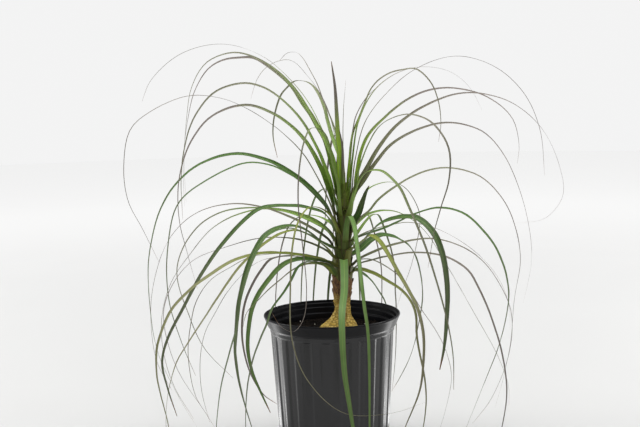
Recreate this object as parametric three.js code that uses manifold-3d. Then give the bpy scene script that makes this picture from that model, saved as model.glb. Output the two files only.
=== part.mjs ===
// A ponytail palm in a plain ribbed nursery pot, in millimetres, +Z up, standing on Z = 0.
// The viewer of the photograph is on the -Y side, and a turn of 0 degrees points along +X.
import * as THREE from 'three';
import { mergeVertices } from 'three/addons/utils/BufferGeometryUtils.js';
import Module from 'manifold-3d';

const wasm = await Module();
wasm.setup();

// Driving dimensions
const GAP = 0.3;                    // clearance between pieces that touch
const POT_HEIGHT = 165;
const POT_RIM_RADIUS = 82.5;
const POT_BASE_RADIUS = 66;
const POT_BODY_RADIUS = 74.2;       // body just under its upper band
const FLUTE_TOP = 143.5;            // the flutes end here
const FLUTE_COUNT = 20;
const FLUTE_DEPTH = 1.2;
const FLOOR_THICKNESS = 2.6;
const WALL_THICKNESS = 2.4;
const DRAIN_COUNT = 5;
const DRAIN_RADIUS = 6;
const DRAIN_CIRCLE = 46;
const SOIL_LEVEL = 143;
const SOIL_ROUGHNESS = 0.8;
const BULB_CENTRE = 6.5;            // X of the buried bulb
const BULB_RADIUS = 27.5;
const BULB_BOTTOM = 120;
const TRUNK_TOP = 205.7;
const BLADE_THICKNESS = 1.2;        // at the keel
const BLADE_CHANNEL = 0.34;         // rise of the edges over the keel, per half width
const BLADE_STEPS = 13;
const STEP_GROWTH = 1.35;           // steps are short at the root and longer towards the tip
const OUTER_WIDTH = 0.38;           // of the full width, where a leaf has no value of its own
const TAPERING = 0.5;               // power of the outer part's fall in width towards its tip
const NARROWING = 0.16;             // share of a leaf's length over which it narrows from its base
const TILT_LENGTH = 0.12;           // share of a leaf's length over which it takes its tilt
const ROOT_REACH = 3.2;             // distance of a leaf's root from the stem's middle line
const ROOT_RISE = 0.25;             // height of a leaf's root, as a share of its tier's height
const COLLAR_REACH = 3;             // how far a leaf base stands off the stem before it rises
const COLLAR_RISE = 0.65;

// The stem leans a little to +X
const stemX = (z) => 11 + 0.045 * (z - 145);
const coreRadius = (z) => 10.6 - 7.4 * Math.pow((z - 206) / 144, 1.1);

// Materials
const plastic = new THREE.MeshStandardMaterial({ color: 0x2b2b2f, roughness: 0.42, metalness: 0 });
const earth = new THREE.MeshStandardMaterial({ color: 0x1d1713, roughness: 0.97, metalness: 0 });
const bark = new THREE.MeshStandardMaterial({ color: 0xa98f4e, roughness: 0.85, metalness: 0 });

function leafMaterial(share) {
  const old = new THREE.Color(0x3c5a2a);
  const young = new THREE.Color(0x6f9a34);
  return new THREE.MeshStandardMaterial({ color: old.lerp(young, share), roughness: 0.5, metalness: 0 });
}

// Leaves. Each tier is a short length of the stem with the leaves that grow from it. A leaf has the
// turn it grows towards, its widest width, the twist of its blade at the tip and the tilt of the
// whole blade in degrees, the width of its outer part as a share where that isn't the common one, and
// the points that it passes: the reach from the stem, the height, and a step sideways where it has one.
const TIERS = [
  { low: 206, high: 216, leaves: [
    { turn: 231, width: 8, twist: 25, outer: 0.6, route: [[24, 224], [44, 230], [67, 236], [84, 232],
      [98, 216], [113, 203], [129, 190], [137, 175], [148, 159], [160, 137], [168, 107], [169, 65],
      [164, 28]] },
    { turn: 222, width: 9, twist: 20, tilt: 30, outer: 0.75, route: [[26, 225], [48, 230.5], [66, 230],
      [82, 226], [98, 218], [117, 208], [132, 198], [147, 187], [153, 168]] },
    { turn: 140, width: 8, twist: 30, tilt: 20, outer: 0.6, route: [[26, 223], [58, 229], [85, 227],
      [117, 219], [132, 205], [149, 182], [160, 160], [165, 133], [163, 103], [150, 69], [126, 43],
      [102, 34]] },
    { turn: 162, width: 6, twist: 20, route: [[28, 223], [55, 231], [82, 230], [105, 225], [121, 215],
      [147, 187], [164, 159], [179, 130], [185, 94], [182, 54], [171, 16]] },
    { turn: 100, width: 10, twist: 15, route: [[20, 224], [42, 225], [72, 208], [86, 183], [92, 149],
      [95, 100], [92, 50]] },
    { turn: 54, width: 9, twist: 60, tilt: 45, outer: 0.8, route: [[26, 213], [44, 205], [65, 192],
      [82, 176], [96, 161], [105, 144], [109, 115], [108, 83], [104, 50]] },
    { turn: 312, width: 9, twist: -20, tilt: 32, route: [[26, 220], [50, 219], [76, 212], [99, 204],
      [114, 193], [122, 179], [124, 158], [129, 138], [138, 111], [142, 84], [139, 52], [130, 16]] },
    { turn: 322, width: 8.3, twist: 35, tilt: 20, route: [[22.5, 224.5], [43, 232], [68, 239], [96, 245],
      [128, 246], [155, 241], [175, 230], [187, 214], [203, 186], [220, 144], [228, 102], [224, 61],
      [214, 22]] },
  ] },
  { low: 216, high: 226, leaves: [
    { turn: 213, width: 10, twist: -30, tilt: -30, outer: 0.8, route: [[24, 229], [50, 235], [75, 235],
      [91, 228], [104, 216], [116, 202], [124, 188], [128, 171], [130, 144], [124, 113], [111, 84],
      [98, 58]] },
    { turn: 224, width: 11, twist: 40, tilt: -20, outer: 0.6, route: [[24, 230], [54, 239], [94, 248],
      [139, 253], [171, 250], [199, 241], [228, 228], [256, 208], [272, 179], [275, 148], [259, 85],
      [246, 30]] },
    { turn: 270, width: 12, twist: 12, outer: 0.9, route: [[16, 227], [42, 234], [90, 209],
      [128, 189, -3], [148, 160, -2], [158, 129, 1], [164, 101, 6], [167, 74, 11], [168, 30, 20]] },
    { turn: 333, width: 7, twist: -30, route: [[22, 230], [38, 231], [54, 225], [71, 215], [84, 201],
      [103, 176], [122, 152], [135, 130], [143, 101], [142, 84], [133, 42], [122, 12]] },
    { turn: 14, width: 8, twist: 40, tilt: 20, route: [[20, 228], [44, 238], [71, 245], [114, 248],
      [147, 238], [179, 217], [204, 185], [221, 147], [220, 96], [199, 40], [175, 10]] },
    { turn: 152, width: 7, twist: 20, route: [[26, 226], [59, 233], [87, 232], [130, 225], [158, 211],
      [190, 191], [210, 163], [219, 129], [222, 90], [210, 38], [190, 12]] },
    { turn: 78, width: 8, twist: 20, route: [[24, 236], [60, 240], [98, 218], [122, 178], [133, 128],
      [132, 78], [124, 30]] },
  ] },
  { low: 226, high: 236, leaves: [
    { turn: 214, width: 9, twist: 60, tilt: -15, outer: 0.7, route: [[24, 245], [49, 263], [70, 271],
      [90, 269], [112, 259], [128, 248], [145, 235], [157, 222], [175, 200], [190, 181], [206, 161],
      [222, 139], [233, 104], [235, 70], [230, 30]] },
    { turn: 205, width: 9, twist: -35, tilt: 20, route: [[22, 241], [56, 257], [101, 264], [151, 257],
      [190, 245], [213, 221], [224, 190], [218, 151], [203, 113], [175, 69], [160, 44]] },
    { turn: 40, width: 11, twist: 40, tilt: 25, outer: 0.8, route: [[24, 236], [45, 248], [62, 252],
      [79, 249], [96, 242], [113, 231], [124, 215], [135, 184], [137, 163], [131, 127], [121, 94],
      [102, 66], [88, 50]] },
    { turn: 90, width: 8, twist: -20, route: [[30, 246], [72, 252], [116, 232], [145, 190], [158, 140],
      [156, 90], [146, 44]] },
  ] },
  { low: 236, high: 246, leaves: [
    { turn: 228, width: 11, twist: 45, tilt: -20, outer: 0.8, route: [[24, 247], [46, 259], [69, 273],
      [98, 281], [125, 278], [140, 270], [158, 247], [171, 214], [176, 183], [178, 155], [172, 121],
      [161, 86], [149, 55], [140, 22]] },
    { turn: 236, width: 8, twist: 30, outer: 0.6, route: [[28, 249], [55, 260], [82, 272], [112, 281],
      [141, 281], [162, 274], [178, 258], [190, 239], [200, 215], [206, 188], [220, 158], [232, 128],
      [239, 87], [238, 40]] },
    { turn: 318, width: 12, twist: 25, tilt: 25, outer: 0.9, route: [[22, 247], [35, 257], [52, 274],
      [73, 283], [95, 287], [113, 285], [132, 272], [145, 250], [153, 220], [155, 189], [153, 145],
      [148, 117]] },
    { turn: 167, width: 8, twist: 35, tilt: -25, route: [[18, 252], [53, 274], [98, 291], [142, 296],
      [187, 284], [222, 250], [242, 190], [244, 143], [236, 96], [216, 60]] },
    { turn: 307, width: 9, twist: -25, tilt: 20, outer: 0.6, route: [[26, 249], [42, 259], [51, 263],
      [66, 259], [83, 245], [99, 228], [119, 209], [137, 188], [146, 164], [148, 135], [144, 100],
      [122, 52], [108, 20]] },
    { turn: 104, width: 9, twist: 20, route: [[26, 262], [64, 270], [104, 250], [130, 208], [142, 156],
      [143, 100], [136, 50]] },
    { turn: 52, width: 8, twist: 20, route: [[26, 256], [46, 270], [58, 276], [71, 275], [87, 253],
      [102, 227], [112, 200], [114, 174], [117, 154], [119, 121], [119, 81], [114, 40]] },
  ] },
  { low: 246, high: 256, leaves: [
    { turn: 156, width: 9, twist: 30, tilt: -30, route: [[22, 264], [71, 284], [115, 287], [175, 264],
      [210, 228], [239, 188], [252, 145], [250, 99], [234, 54], [204, 12]] },
    { turn: 334, width: 9, twist: -40, tilt: 20, outer: 0.6, route: [[20, 257], [36, 263], [50, 268],
      [68, 276], [88, 286], [116, 295], [147, 291], [169, 276], [194, 244], [206, 203], [200, 151],
      [184, 101], [163, 41], [154, 14]] },
    { turn: 281, width: 8.5, twist: 15, outer: 0.65, route: [[15, 272], [28, 285], [53, 278],
      [83, 261, -3], [119, 231, -6], [139, 201, -6], [152, 173, -4], [160, 126, -3], [163, 71, -2],
      [160, 24]] },
    { turn: 186, width: 8, twist: -25, tilt: -25, route: [[21, 268], [52, 286], [98, 295], [142, 293],
      [171, 278], [192, 249], [198, 219], [185, 174], [165, 129], [130, 90]] },
    { turn: 66, width: 6, twist: -20, route: [[24, 262], [44, 267], [65, 272], [79, 273], [97, 255],
      [109, 238], [123, 216], [132, 195], [136, 168], [136, 128], [128, 89]] },
    { turn: 8, width: 7, twist: 20, route: [[21, 258], [39, 265], [59, 269], [78, 271], [106, 265],
      [127, 256], [151, 241], [177, 219], [198, 191], [209, 162], [212, 132]] },
  ] },
  { low: 256, high: 266, leaves: [
    { turn: 216, width: 10, twist: -40, tilt: -30, outer: 0.6, route: [[28, 286], [57, 297], [88, 302],
      [122, 301], [166, 270], [197, 235], [219, 201], [239, 168], [245, 144], [238, 114], [226, 80]] },
    { turn: 26, width: 8, twist: 45, tilt: 15, route: [[19, 274], [39, 283], [71, 282], [110, 258],
      [149, 206], [191, 143], [232, 79], [250, 38], [252, 12]] },
    { turn: 240, width: 6, twist: 20, route: [[36, 288], [73, 301, -3], [105, 290], [133, 266, 9],
      [151, 220, 18], [157, 167, 25], [146, 121, 39], [119, 81, 71], [87, 78, 114], [62, 87, 142]] },
    { turn: 124, width: 8, twist: -25, route: [[26, 270], [54, 276], [90, 274], [121, 258], [139, 225],
      [147, 191], [150, 153], [148, 100], [142, 56]] },
    { turn: 352, width: 9, twist: -30, tilt: 25, route: [[19, 278], [31, 288], [40, 300], [54, 312],
      [74, 325], [101, 336], [125, 338], [153, 331], [171, 319], [188, 299], [200, 275], [210, 232],
      [205, 181], [203, 132], [197, 90], [188, 50]] },
    { turn: 108, width: 8, twist: 15, route: [[24, 290], [66, 308], [112, 294], [146, 250], [162, 192],
      [164, 130], [156, 72]] },
  ] },
  { low: 266, high: 276, leaves: [
    { turn: 178, width: 12.5, twist: 35, tilt: -45, outer: 0.33, route: [[25, 297], [53, 326], [90, 349],
      [135, 359], [185, 341], [218, 300], [234, 239], [233, 178], [223, 119], [196, 61], [173, 22]] },
    { turn: 33, width: 7, twist: 40, route: [[17, 280], [24, 296], [34, 311], [50, 317], [68, 318],
      [84, 313], [98, 302], [114, 275], [114, 255], [105, 215], [89, 176], [83, 157], [80, 130]] },
    { turn: 18, width: 10, twist: 10, tilt: 50, outer: 1, route: [[17, 281], [21, 290], [24, 300],
      [27, 309], [31, 317]] },
    { turn: 82, width: 7, twist: 15, route: [[18, 286], [36, 292], [60, 280], [76, 240], [82, 190],
      [82, 120]] },
    { turn: 192, width: 8, twist: -30, tilt: -25, route: [[22, 295], [57, 328], [93, 347], [120, 350],
      [167, 331], [198, 306], [210, 252], [208, 193], [193, 142], [176, 100]] },
    { turn: 208, width: 6, twist: -35, route: [[14, 284], [27, 312], [41, 336], [57, 359], [75, 377],
      [99, 396], [137, 418], [165, 428], [201, 431], [238, 419], [267, 398], [275, 358], [270, 320],
      [253, 287], [234, 249]] },
  ] },
  { low: 276, high: 288, leaves: [
    { turn: 307, width: 10, twist: 30, tilt: 20, outer: 0.33, route: [[18.5, 308], [34, 333], [48, 339],
      [62, 340], [75, 337], [100, 322], [116, 302], [130, 283], [145, 261], [159, 236], [176, 202],
      [189, 170], [196, 142], [198, 110]] },
    { turn: 184, width: 12.5, twist: 35, tilt: -52, outer: 0.33, route: [[20, 315], [30, 341], [51, 376],
      [85, 405], [120, 417], [159, 405], [184, 374], [197, 329], [196, 284], [187, 247], [174, 200]] },
    { turn: 304, width: 11, twist: -40, tilt: 30, outer: 0.33, route: [[18, 306], [34, 351], [63, 389],
      [94, 402], [129, 405], [164, 394], [188, 369], [189, 336], [178, 308], [168, 280], [160, 240]] },
    { turn: 96, width: 8, twist: -20, route: [[16, 316], [40, 350], [62, 356], [86, 330], [98, 286],
      [102, 236], [98, 180]] },
    { turn: 244, width: 6, twist: 20, route: [[20, 322], [35, 346], [44, 364], [56, 381], [69, 388],
      [87, 392], [100, 390], [114, 373], [122, 345], [122, 309], [108, 257], [97, 210], [102, 179],
      [124, 168], [158, 180], [179, 199]] },
  ] },
  { low: 288, high: 300, leaves: [
    { turn: 344, width: 12.8, twist: -50, tilt: 55, outer: 0.34, route: [[14, 310], [15.5, 328],
      [17.5, 350], [22.5, 368], [31, 383], [49, 401], [72, 419], [98, 430], [125, 432], [164, 422],
      [194, 398], [204, 366], [203, 345]] },
    { turn: 20, width: 9.5, twist: -35, tilt: 45, outer: 0.28, route: [[14, 314], [27, 336], [43, 363],
      [69, 391], [122, 418], [165, 424], [219, 411], [265, 377], [292, 332], [301, 290], [277, 262],
      [234, 258]] },
    { turn: 7, width: 9.5, twist: -35, tilt: 50, outer: 0.27, route: [[15, 312], [22, 322], [36, 344],
      [56, 367], [89, 384], [121, 390], [150, 385], [169, 376], [191, 353], [209, 320], [226, 272],
      [234, 220], [226, 165]] },
    { turn: 198, width: 12, twist: 35, tilt: -52, outer: 0.34, route: [[15.5, 312], [20.5, 327],
      [34, 360], [58, 400], [83, 425], [104, 438], [128, 443], [161, 433], [184, 405], [195, 369],
      [198, 335], [196, 290]] },
    { turn: 100, width: 9, twist: 25, outer: 0.45, route: [[14, 328], [28, 356], [52, 374], [84, 370],
      [108, 344], [121, 302], [124, 250]] },
  ] },
  { low: 300, high: 314, leaves: [
    { turn: 150, width: 5, twist: 30, route: [[18, 350], [47, 409], [79, 445], [121, 475], [180, 491],
      [245, 480], [293, 446], [306, 420]] },
    { turn: 160, width: 13.5, twist: 40, tilt: -60, outer: 0.33, route: [[11.8, 326], [15.5, 341],
      [21, 359], [27, 375], [37, 390], [45, 403], [56, 417], [71, 438], [85, 450], [103, 463], [120, 472],
      [139, 473], [160, 471], [179, 462], [198, 436], [208, 400], [214, 350], [212, 290]] },
    { turn: 48, width: 5, twist: 30, route: [[13, 348], [22, 393], [46, 426], [84, 447], [141, 457],
      [206, 450], [253, 428], [284, 397]] },
    { turn: 14, width: 6, twist: -25, route: [[13, 349, 2], [24, 394, 1], [47, 425], [83, 454],
      [134, 469], [186, 455], [227, 420], [249, 376], [258, 320]] },
  ] },
  { low: 314, high: 330, leaves: [
    { turn: 172, width: 11.5, twist: 35, tilt: -50, outer: 0.3, route: [[17, 354], [39, 397], [66, 438],
      [99, 466], [136, 479], [170, 468], [188, 440], [194, 405], [197, 352], [194, 300]] },
    { turn: 118, width: 10.5, twist: 20, outer: 0.5, route: [[12.4, 348], [28, 366], [40, 383], [48, 395],
      [57, 410], [80, 432], [99, 440], [119, 443], [139, 442], [157, 435], [179, 422], [196, 394],
      [198, 370], [184, 342]] },
    { turn: 215, width: 8, twist: 30, tilt: -30, outer: 0.34, route: [[11, 356], [19, 386], [30, 414],
      [48, 440], [60, 452], [72, 463], [82, 468], [94, 468], [105, 465], [117, 458], [126, 447],
      [134, 426]] },
    { turn: 128, width: 8, twist: 20, outer: 0.34, route: [[12, 358], [23, 387], [36, 406], [46, 420],
      [58, 439], [73, 456], [88, 471], [100, 478], [121, 478], [138, 468]] },
  ] },
  { low: 330, high: 350, leaves: [
    { turn: 190, width: 11.5, twist: 0, tilt: 75, outer: 0.65, route: [[8, 362], [10, 380], [12, 403],
      [15, 436], [20, 466]] },
    { turn: 120, width: 4, twist: 10, tilt: 30, outer: 0.7, route: [[7, 366], [8, 385], [8, 408],
      [6, 426], [4, 444]] },
    { turn: 136, width: 8, twist: 10, tilt: -40, outer: 0.8, route: [[9, 366], [12, 378], [16, 388]] },
    { turn: 238, width: 7, twist: 10, outer: 0.8, route: [[8, 364], [12, 376], [16, 386]] },
    { turn: 336, width: 8, twist: -30, tilt: 55, outer: 0.7, route: [[6, 362], [8, 378], [11, 397],
      [16, 409], [26, 424], [39, 436]] },
    { turn: 332, width: 12, twist: -40, tilt: 58, outer: 0.31, route: [[7, 361], [10, 383], [17, 400],
      [25, 419], [31, 432], [42, 444], [55, 451], [69, 454], [87, 455], [106, 439], [116, 418],
      [120, 393], [118, 372]] },
  ] },
];

// Turns a closed geometry into a solid that can be joined and cut
function solidOf(geometry) {
  const bare = geometry.clone();
  bare.deleteAttribute('normal');
  bare.deleteAttribute('uv');
  const merged = mergeVertices(bare, 1e-4);
  const corners = merged.index.array;
  const faces = [];
  for (let i = 0; i < corners.length; i += 3) {
    const [a, b, c] = [corners[i], corners[i + 1], corners[i + 2]];
    if (a !== b && b !== c && c !== a) faces.push(a, b, c);
  }
  return new wasm.Manifold(new wasm.Mesh({
    numProp: 3,
    vertProperties: new Float32Array(merged.attributes.position.array),
    triVerts: new Uint32Array(faces),
  }));
}

function geometryOf(solid) {
  const mesh = solid.getMesh();
  const geometry = new THREE.BufferGeometry();
  geometry.setAttribute('position', new THREE.BufferAttribute(new Float32Array(mesh.vertProperties), 3));
  geometry.setIndex(largestSkin(mesh.triVerts, mesh.vertProperties.length / 3));
  geometry.computeVertexNormals();
  return geometry;
}

// The triangles of the largest connected skin: a tiny hollow that fusing sealed is filled this way
function largestSkin(corners, count) {
  const leader = Array.from({ length: count }, (_, i) => i);
  const find = (i) => {
    let top = i;
    while (leader[top] !== top) top = leader[top];
    leader[i] = top;
    return top;
  };
  for (let i = 0; i < corners.length; i += 3) {
    leader[find(corners[i + 1])] = find(corners[i]);
    leader[find(corners[i + 2])] = find(corners[i]);
  }
  const skins = new Map();
  for (let i = 0; i < corners.length; i += 3) {
    const key = find(corners[i]);
    if (!skins.has(key)) skins.set(key, []);
    skins.get(key).push(corners[i], corners[i + 1], corners[i + 2]);
  }
  return [...skins.values()].reduce((best, skin) => (skin.length > best.length ? skin : best));
}

function piece(name, geometry, material) {
  const mesh = new THREE.Mesh(geometry, material);
  mesh.name = name;
  return mesh;
}

// A solid of revolution about Z from [radius, height] pairs, each point then moved by shift(point)
function turned(profile, sides, shift) {
  const geometry = new THREE.LatheGeometry(profile.map(([r, z]) => new THREE.Vector2(r, z)), sides);
  geometry.rotateX(Math.PI / 2);
  const spots = geometry.attributes.position;
  const point = new THREE.Vector3();
  for (let i = 0; i < spots.count; i += 1) {
    point.fromBufferAttribute(spots, i);
    shift(point);
    spots.setXYZ(i, point.x, point.y, point.z);
  }
  return geometry;
}

// A plain upright cylinder
function drum(radius, low, high, x, y, sides) {
  const geometry = new THREE.CylinderGeometry(radius, radius, high - low, sides);
  geometry.rotateX(Math.PI / 2);
  geometry.translate(x, y, (low + high) / 2);
  return geometry;
}

// Repeatable random numbers
function randomFrom(seed) {
  let state = seed;
  return () => {
    state = (state * 1664525 + 1013904223) % 4294967296;
    return state / 4294967296;
  };
}

// Pot: a tapered, fluted wall with a conical rim, stepped inside, and a flat floor with drain holes
function makePot() {
  const outside = [
    [0, 0], [POT_BASE_RADIUS - 2, 0], [POT_BASE_RADIUS, 2], [POT_BASE_RADIUS + 0.3, 6],
    [POT_BODY_RADIUS, FLUTE_TOP], [POT_BODY_RADIUS + 0.8, FLUTE_TOP + 1.5],
    [POT_BODY_RADIUS + 0.9, 149], [76.6, 150.2], [77.6, 151.5], [81.6, 161.5],
    [POT_RIM_RADIUS, 163], [POT_RIM_RADIUS - 0.3, 164.5], [POT_RIM_RADIUS - 1.1, POT_HEIGHT],
  ];
  const inside = [
    [80.2, 164.6], [79.4, 161.8], [78, 161.2], [77.2, 156.8], [75.8, 156.2], [74.8, 150],
    [72.8, 149.2],
    [POT_BODY_RADIUS - WALL_THICKNESS, FLUTE_TOP],
    [POT_BASE_RADIUS + 0.3 - WALL_THICKNESS, FLOOR_THICKNESS + 3],
    [POT_BASE_RADIUS - 3 - WALL_THICKNESS, FLOOR_THICKNESS], [0, FLOOR_THICKNESS],
  ];
  const sidesPerFlute = 4;
  const wallMiddle = (z) => THREE.MathUtils.mapLinear(z, 0, FLUTE_TOP, POT_BASE_RADIUS, POT_BODY_RADIUS)
    - WALL_THICKNESS / 2;
  const flute = (point) => {
    const radius = Math.hypot(point.x, point.y);
    if (point.z < 5 || point.z > FLUTE_TOP + 0.1 || radius < wallMiddle(point.z)) return;
    const turn = Math.atan2(point.y, point.x) / (2 * Math.PI) * FLUTE_COUNT;
    const share = turn - Math.floor(turn + 0.001);
    if (share < 0.4) return;
    const scale = (radius - FLUTE_DEPTH) / radius;
    point.x *= scale;
    point.y *= scale;
  };
  let pot = solidOf(turned([...outside, ...inside], FLUTE_COUNT * sidesPerFlute, flute));
  for (let i = 0; i < DRAIN_COUNT; i += 1) {
    const turn = (i + 0.5) / DRAIN_COUNT * 2 * Math.PI;
    const hole = drum(DRAIN_RADIUS, -1, FLOOR_THICKNESS + 1,
      DRAIN_CIRCLE * Math.cos(turn), DRAIN_CIRCLE * Math.sin(turn), 16);
    pot = pot.subtract(solidOf(hole));
  }
  return piece('pot', geometryOf(pot), plastic);
}

// Soil: fills the pot up to its level, with an uneven top and a plain hole for the bulb
function makeSoil() {
  const clear = GAP + 0.1;
  const wallFoot = POT_BASE_RADIUS + 0.3 - WALL_THICKNESS;
  const wallHead = POT_BODY_RADIUS - WALL_THICKNESS;
  const profile = [
    [0, FLOOR_THICKNESS + GAP], [wallFoot - 4, FLOOR_THICKNESS + GAP], [wallFoot - clear, FLOOR_THICKNESS + 5],
    [wallHead - clear, SOIL_LEVEL - 0.6], [68, SOIL_LEVEL], [61, SOIL_LEVEL + 0.3], [54, SOIL_LEVEL + 0.6],
    [47, SOIL_LEVEL + 0.8], [40, SOIL_LEVEL + 1], [30, SOIL_LEVEL + 1.4], [0, SOIL_LEVEL + 1.6],
  ];
  const random = randomFrom(7);
  const bumps = new Map();
  const roughen = (point) => {
    const radius = Math.hypot(point.x, point.y);
    if (point.z < SOIL_LEVEL - 0.1 || radius < 1) return;
    const key = `${Math.round(point.x * 10)},${Math.round(point.y * 10)}`;
    if (!bumps.has(key)) bumps.set(key, (random() * 2 - 1) * SOIL_ROUGHNESS);
    point.z += bumps.get(key);
  };
  const hole = drum(BULB_RADIUS + 2 * GAP, BULB_BOTTOM - GAP, SOIL_LEVEL + 20, BULB_CENTRE, 0, 40);
  const soil = solidOf(turned(profile, 48, roughen)).subtract(solidOf(hole));
  return piece('soil', geometryOf(soil), earth);
}

// Trunk: the swollen foot in its hole, the bare stem and the stubs of old leaf bases in steps
function makeTrunk() {
  const profile = [
    [0, BULB_BOTTOM], [20, BULB_BOTTOM], [25.5, 124], [BULB_RADIUS, 132], [27, 140], [25, 145],
    [21, 150], [15.5, 155.5], [11.8, 161], [9.7, 168], [8.7, 176], [8.9, 183], [10.6, 184],
    [10.2, 190], [11.4, 191], [10.9, 197], [12, 198], [11.6, TRUNK_TOP], [0, TRUNK_TOP],
  ];
  const middle = new THREE.CatmullRomCurve3([
    new THREE.Vector3(BULB_CENTRE, 0, BULB_BOTTOM), new THREE.Vector3(BULB_CENTRE, 0, 140),
    new THREE.Vector3(10.5, 0, 154), new THREE.Vector3(13.4, 0, 172),
    new THREE.Vector3(stemX(TRUNK_TOP), 0, TRUNK_TOP),
  ], false, 'centripetal');
  const samples = middle.getPoints(60);
  const middleX = (z) => {
    const i = Math.max(1, samples.findIndex((sample) => sample.z >= z));
    return THREE.MathUtils.mapLinear(z, samples[i - 1].z, samples[i].z, samples[i - 1].x, samples[i].x);
  };
  const furrow = (point) => {
    const turn = Math.atan2(point.y, point.x);
    const radius = Math.hypot(point.x, point.y);
    const share = THREE.MathUtils.smoothstep(point.z, 144, 150) * (radius > 1 ? 1 : 0);
    const scale = 1 + share * (0.03 * Math.sin(5 * turn + 0.2 * point.z) - 0.02 * Math.cos(9 * turn));
    point.x = point.x * scale + middleX(Math.min(point.z, TRUNK_TOP - 0.01));
    point.y *= scale;
  };
  return piece('trunk', turned(profile, 28, furrow), bark);
}

// Width of a blade at a share of its length: broad at its base, then narrow, with a fine tip
function bladeWidth({ width, outer = OUTER_WIDTH }, share) {
  const base = (1 - outer) * Math.exp(-share / NARROWING);
  const blade = outer * Math.pow(1 - share, TAPERING);
  const clasp = 1 + 0.2 * Math.exp(-share / 0.04);
  return width * (base + blade) * clasp;
}

// Roll of a blade about its own length: the tilt is taken near the root, the twist grows to the tip
function bladeRoll({ twist, tilt = 0 }, share) {
  const tilted = tilt * THREE.MathUtils.smoothstep(share, 0, TILT_LENGTH);
  return THREE.MathUtils.degToRad(tilted + twist * share * share);
}

// One leaf: a channelled blade carried along its route, closed at the root and at the tip
function makeLeaf(leaf, tier) {
  const turn = THREE.MathUtils.degToRad(leaf.turn);
  const outward = new THREE.Vector3(Math.cos(turn), Math.sin(turn), 0);
  const sideways = new THREE.Vector3(-Math.sin(turn), Math.cos(turn), 0);
  const place = ([reach, height, side = 0]) => new THREE.Vector3(stemX(height), 0, height)
    .addScaledVector(outward, reach).addScaledVector(sideways, side);
  const rise = (share) => THREE.MathUtils.lerp(tier.low, tier.high, share);
  const root = [ROOT_REACH, rise(ROOT_RISE)];
  const collar = [coreRadius(tier.low) + COLLAR_REACH, rise(COLLAR_RISE)];
  const path = new THREE.CatmullRomCurve3([root, collar, ...leaf.route].map(place), false, 'centripetal');
  const across = sideways.clone();
  const spots = [];
  for (let i = 0; i < BLADE_STEPS; i += 1) {
    const share = Math.pow(i / BLADE_STEPS, STEP_GROWTH);
    const along = path.getTangentAt(share);
    across.addScaledVector(along, -across.dot(along)).normalize();
    const wide = across.clone().applyAxisAngle(along, bladeRoll(leaf, share));
    const up = new THREE.Vector3().crossVectors(along, wide);
    const half = bladeWidth(leaf, share) / 2;
    const keel = path.getPointAt(share);
    const edge = keel.clone().addScaledVector(up, half * BLADE_CHANNEL);
    spots.push(edge.clone().addScaledVector(wide, -half), keel.clone(),
      edge.clone().addScaledVector(wide, half), keel.clone().addScaledVector(up, -BLADE_THICKNESS));
  }
  spots.push(path.getPointAt(1));
  // The upper and the lower skin are split the same way, so that they stay apart where a blade twists
  const faces = [0, 1, 2, 0, 2, 3];
  for (let i = 0; i + 1 < BLADE_STEPS; i += 1) {
    for (let j = 0; j < 4; j += 1) {
      const a = 4 * i + j;
      const b = 4 * i + (j + 1) % 4;
      if (j % 2 === 0) faces.push(a, a + 4, b, b, a + 4, b + 4);
      else faces.push(a, a + 4, b + 4, a, b + 4, b);
    }
  }
  const last = 4 * (BLADE_STEPS - 1);
  for (let j = 0; j < 4; j += 1) faces.push(last + j, last + 4, last + (j + 1) % 4);
  const geometry = new THREE.BufferGeometry().setFromPoints(spots);
  geometry.setIndex(faces);
  return solidOf(geometry);
}

// A tier: a short length of the leafy stem with its leaves fused on
function makeTier(tier, number) {
  const foot = tier.low + (number > 1 ? GAP : 0);
  const height = tier.high - foot;
  const core = new THREE.CylinderGeometry(coreRadius(tier.high), coreRadius(foot), height, 14);
  core.rotateX(Math.PI / 2);
  core.translate(stemX(foot + height / 2), 0, foot + height / 2);
  let solid = solidOf(core);
  for (const leaf of tier.leaves) solid = solid.add(makeLeaf(leaf, tier));
  const share = (number - 1) / (TIERS.length - 1);
  return piece(`leaf_tier_${String(number).padStart(2, '0')}`, geometryOf(solid), leafMaterial(share));
}

const palm = new THREE.Group();
palm.add(makePot(), makeSoil(), makeTrunk());
TIERS.forEach((tier, i) => palm.add(makeTier(tier, i + 1)));

export default palm;
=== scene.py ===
"""Visual model of a potted ponytail palm: a fluted nursery pot, soil, a swollen trunk and arching leaves.

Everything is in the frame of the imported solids: metres, +Z up, standing on Z = 0. The viewer of the
photograph is on the -Y side, and a turn of 0 degrees points along +X. Sizes in the fields and in the
table of leaves are in millimetres, and MM scales them when they are used; the lights, the floor and
the range that the camera sees are in metres. Scales of noise are in waves a metre.
"""

import logging
import math
import random
from dataclasses import dataclass
from enum import Enum
from typing import Any, Callable, Sequence

import bpy
from mathutils import Matrix, Vector, noise


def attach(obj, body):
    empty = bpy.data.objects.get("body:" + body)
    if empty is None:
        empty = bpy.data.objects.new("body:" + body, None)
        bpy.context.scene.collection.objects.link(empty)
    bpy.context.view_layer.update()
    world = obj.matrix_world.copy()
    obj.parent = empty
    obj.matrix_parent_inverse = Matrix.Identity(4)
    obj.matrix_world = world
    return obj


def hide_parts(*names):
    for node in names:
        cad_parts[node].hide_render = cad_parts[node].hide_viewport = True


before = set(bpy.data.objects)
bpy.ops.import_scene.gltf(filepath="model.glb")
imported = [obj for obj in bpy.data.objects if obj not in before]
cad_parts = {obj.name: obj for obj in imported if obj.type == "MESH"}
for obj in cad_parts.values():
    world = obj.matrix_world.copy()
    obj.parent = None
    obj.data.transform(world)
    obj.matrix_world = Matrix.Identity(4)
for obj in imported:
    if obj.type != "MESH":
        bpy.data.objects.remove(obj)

LOG = logging.getLogger("palm")
MM = 0.001
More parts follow.
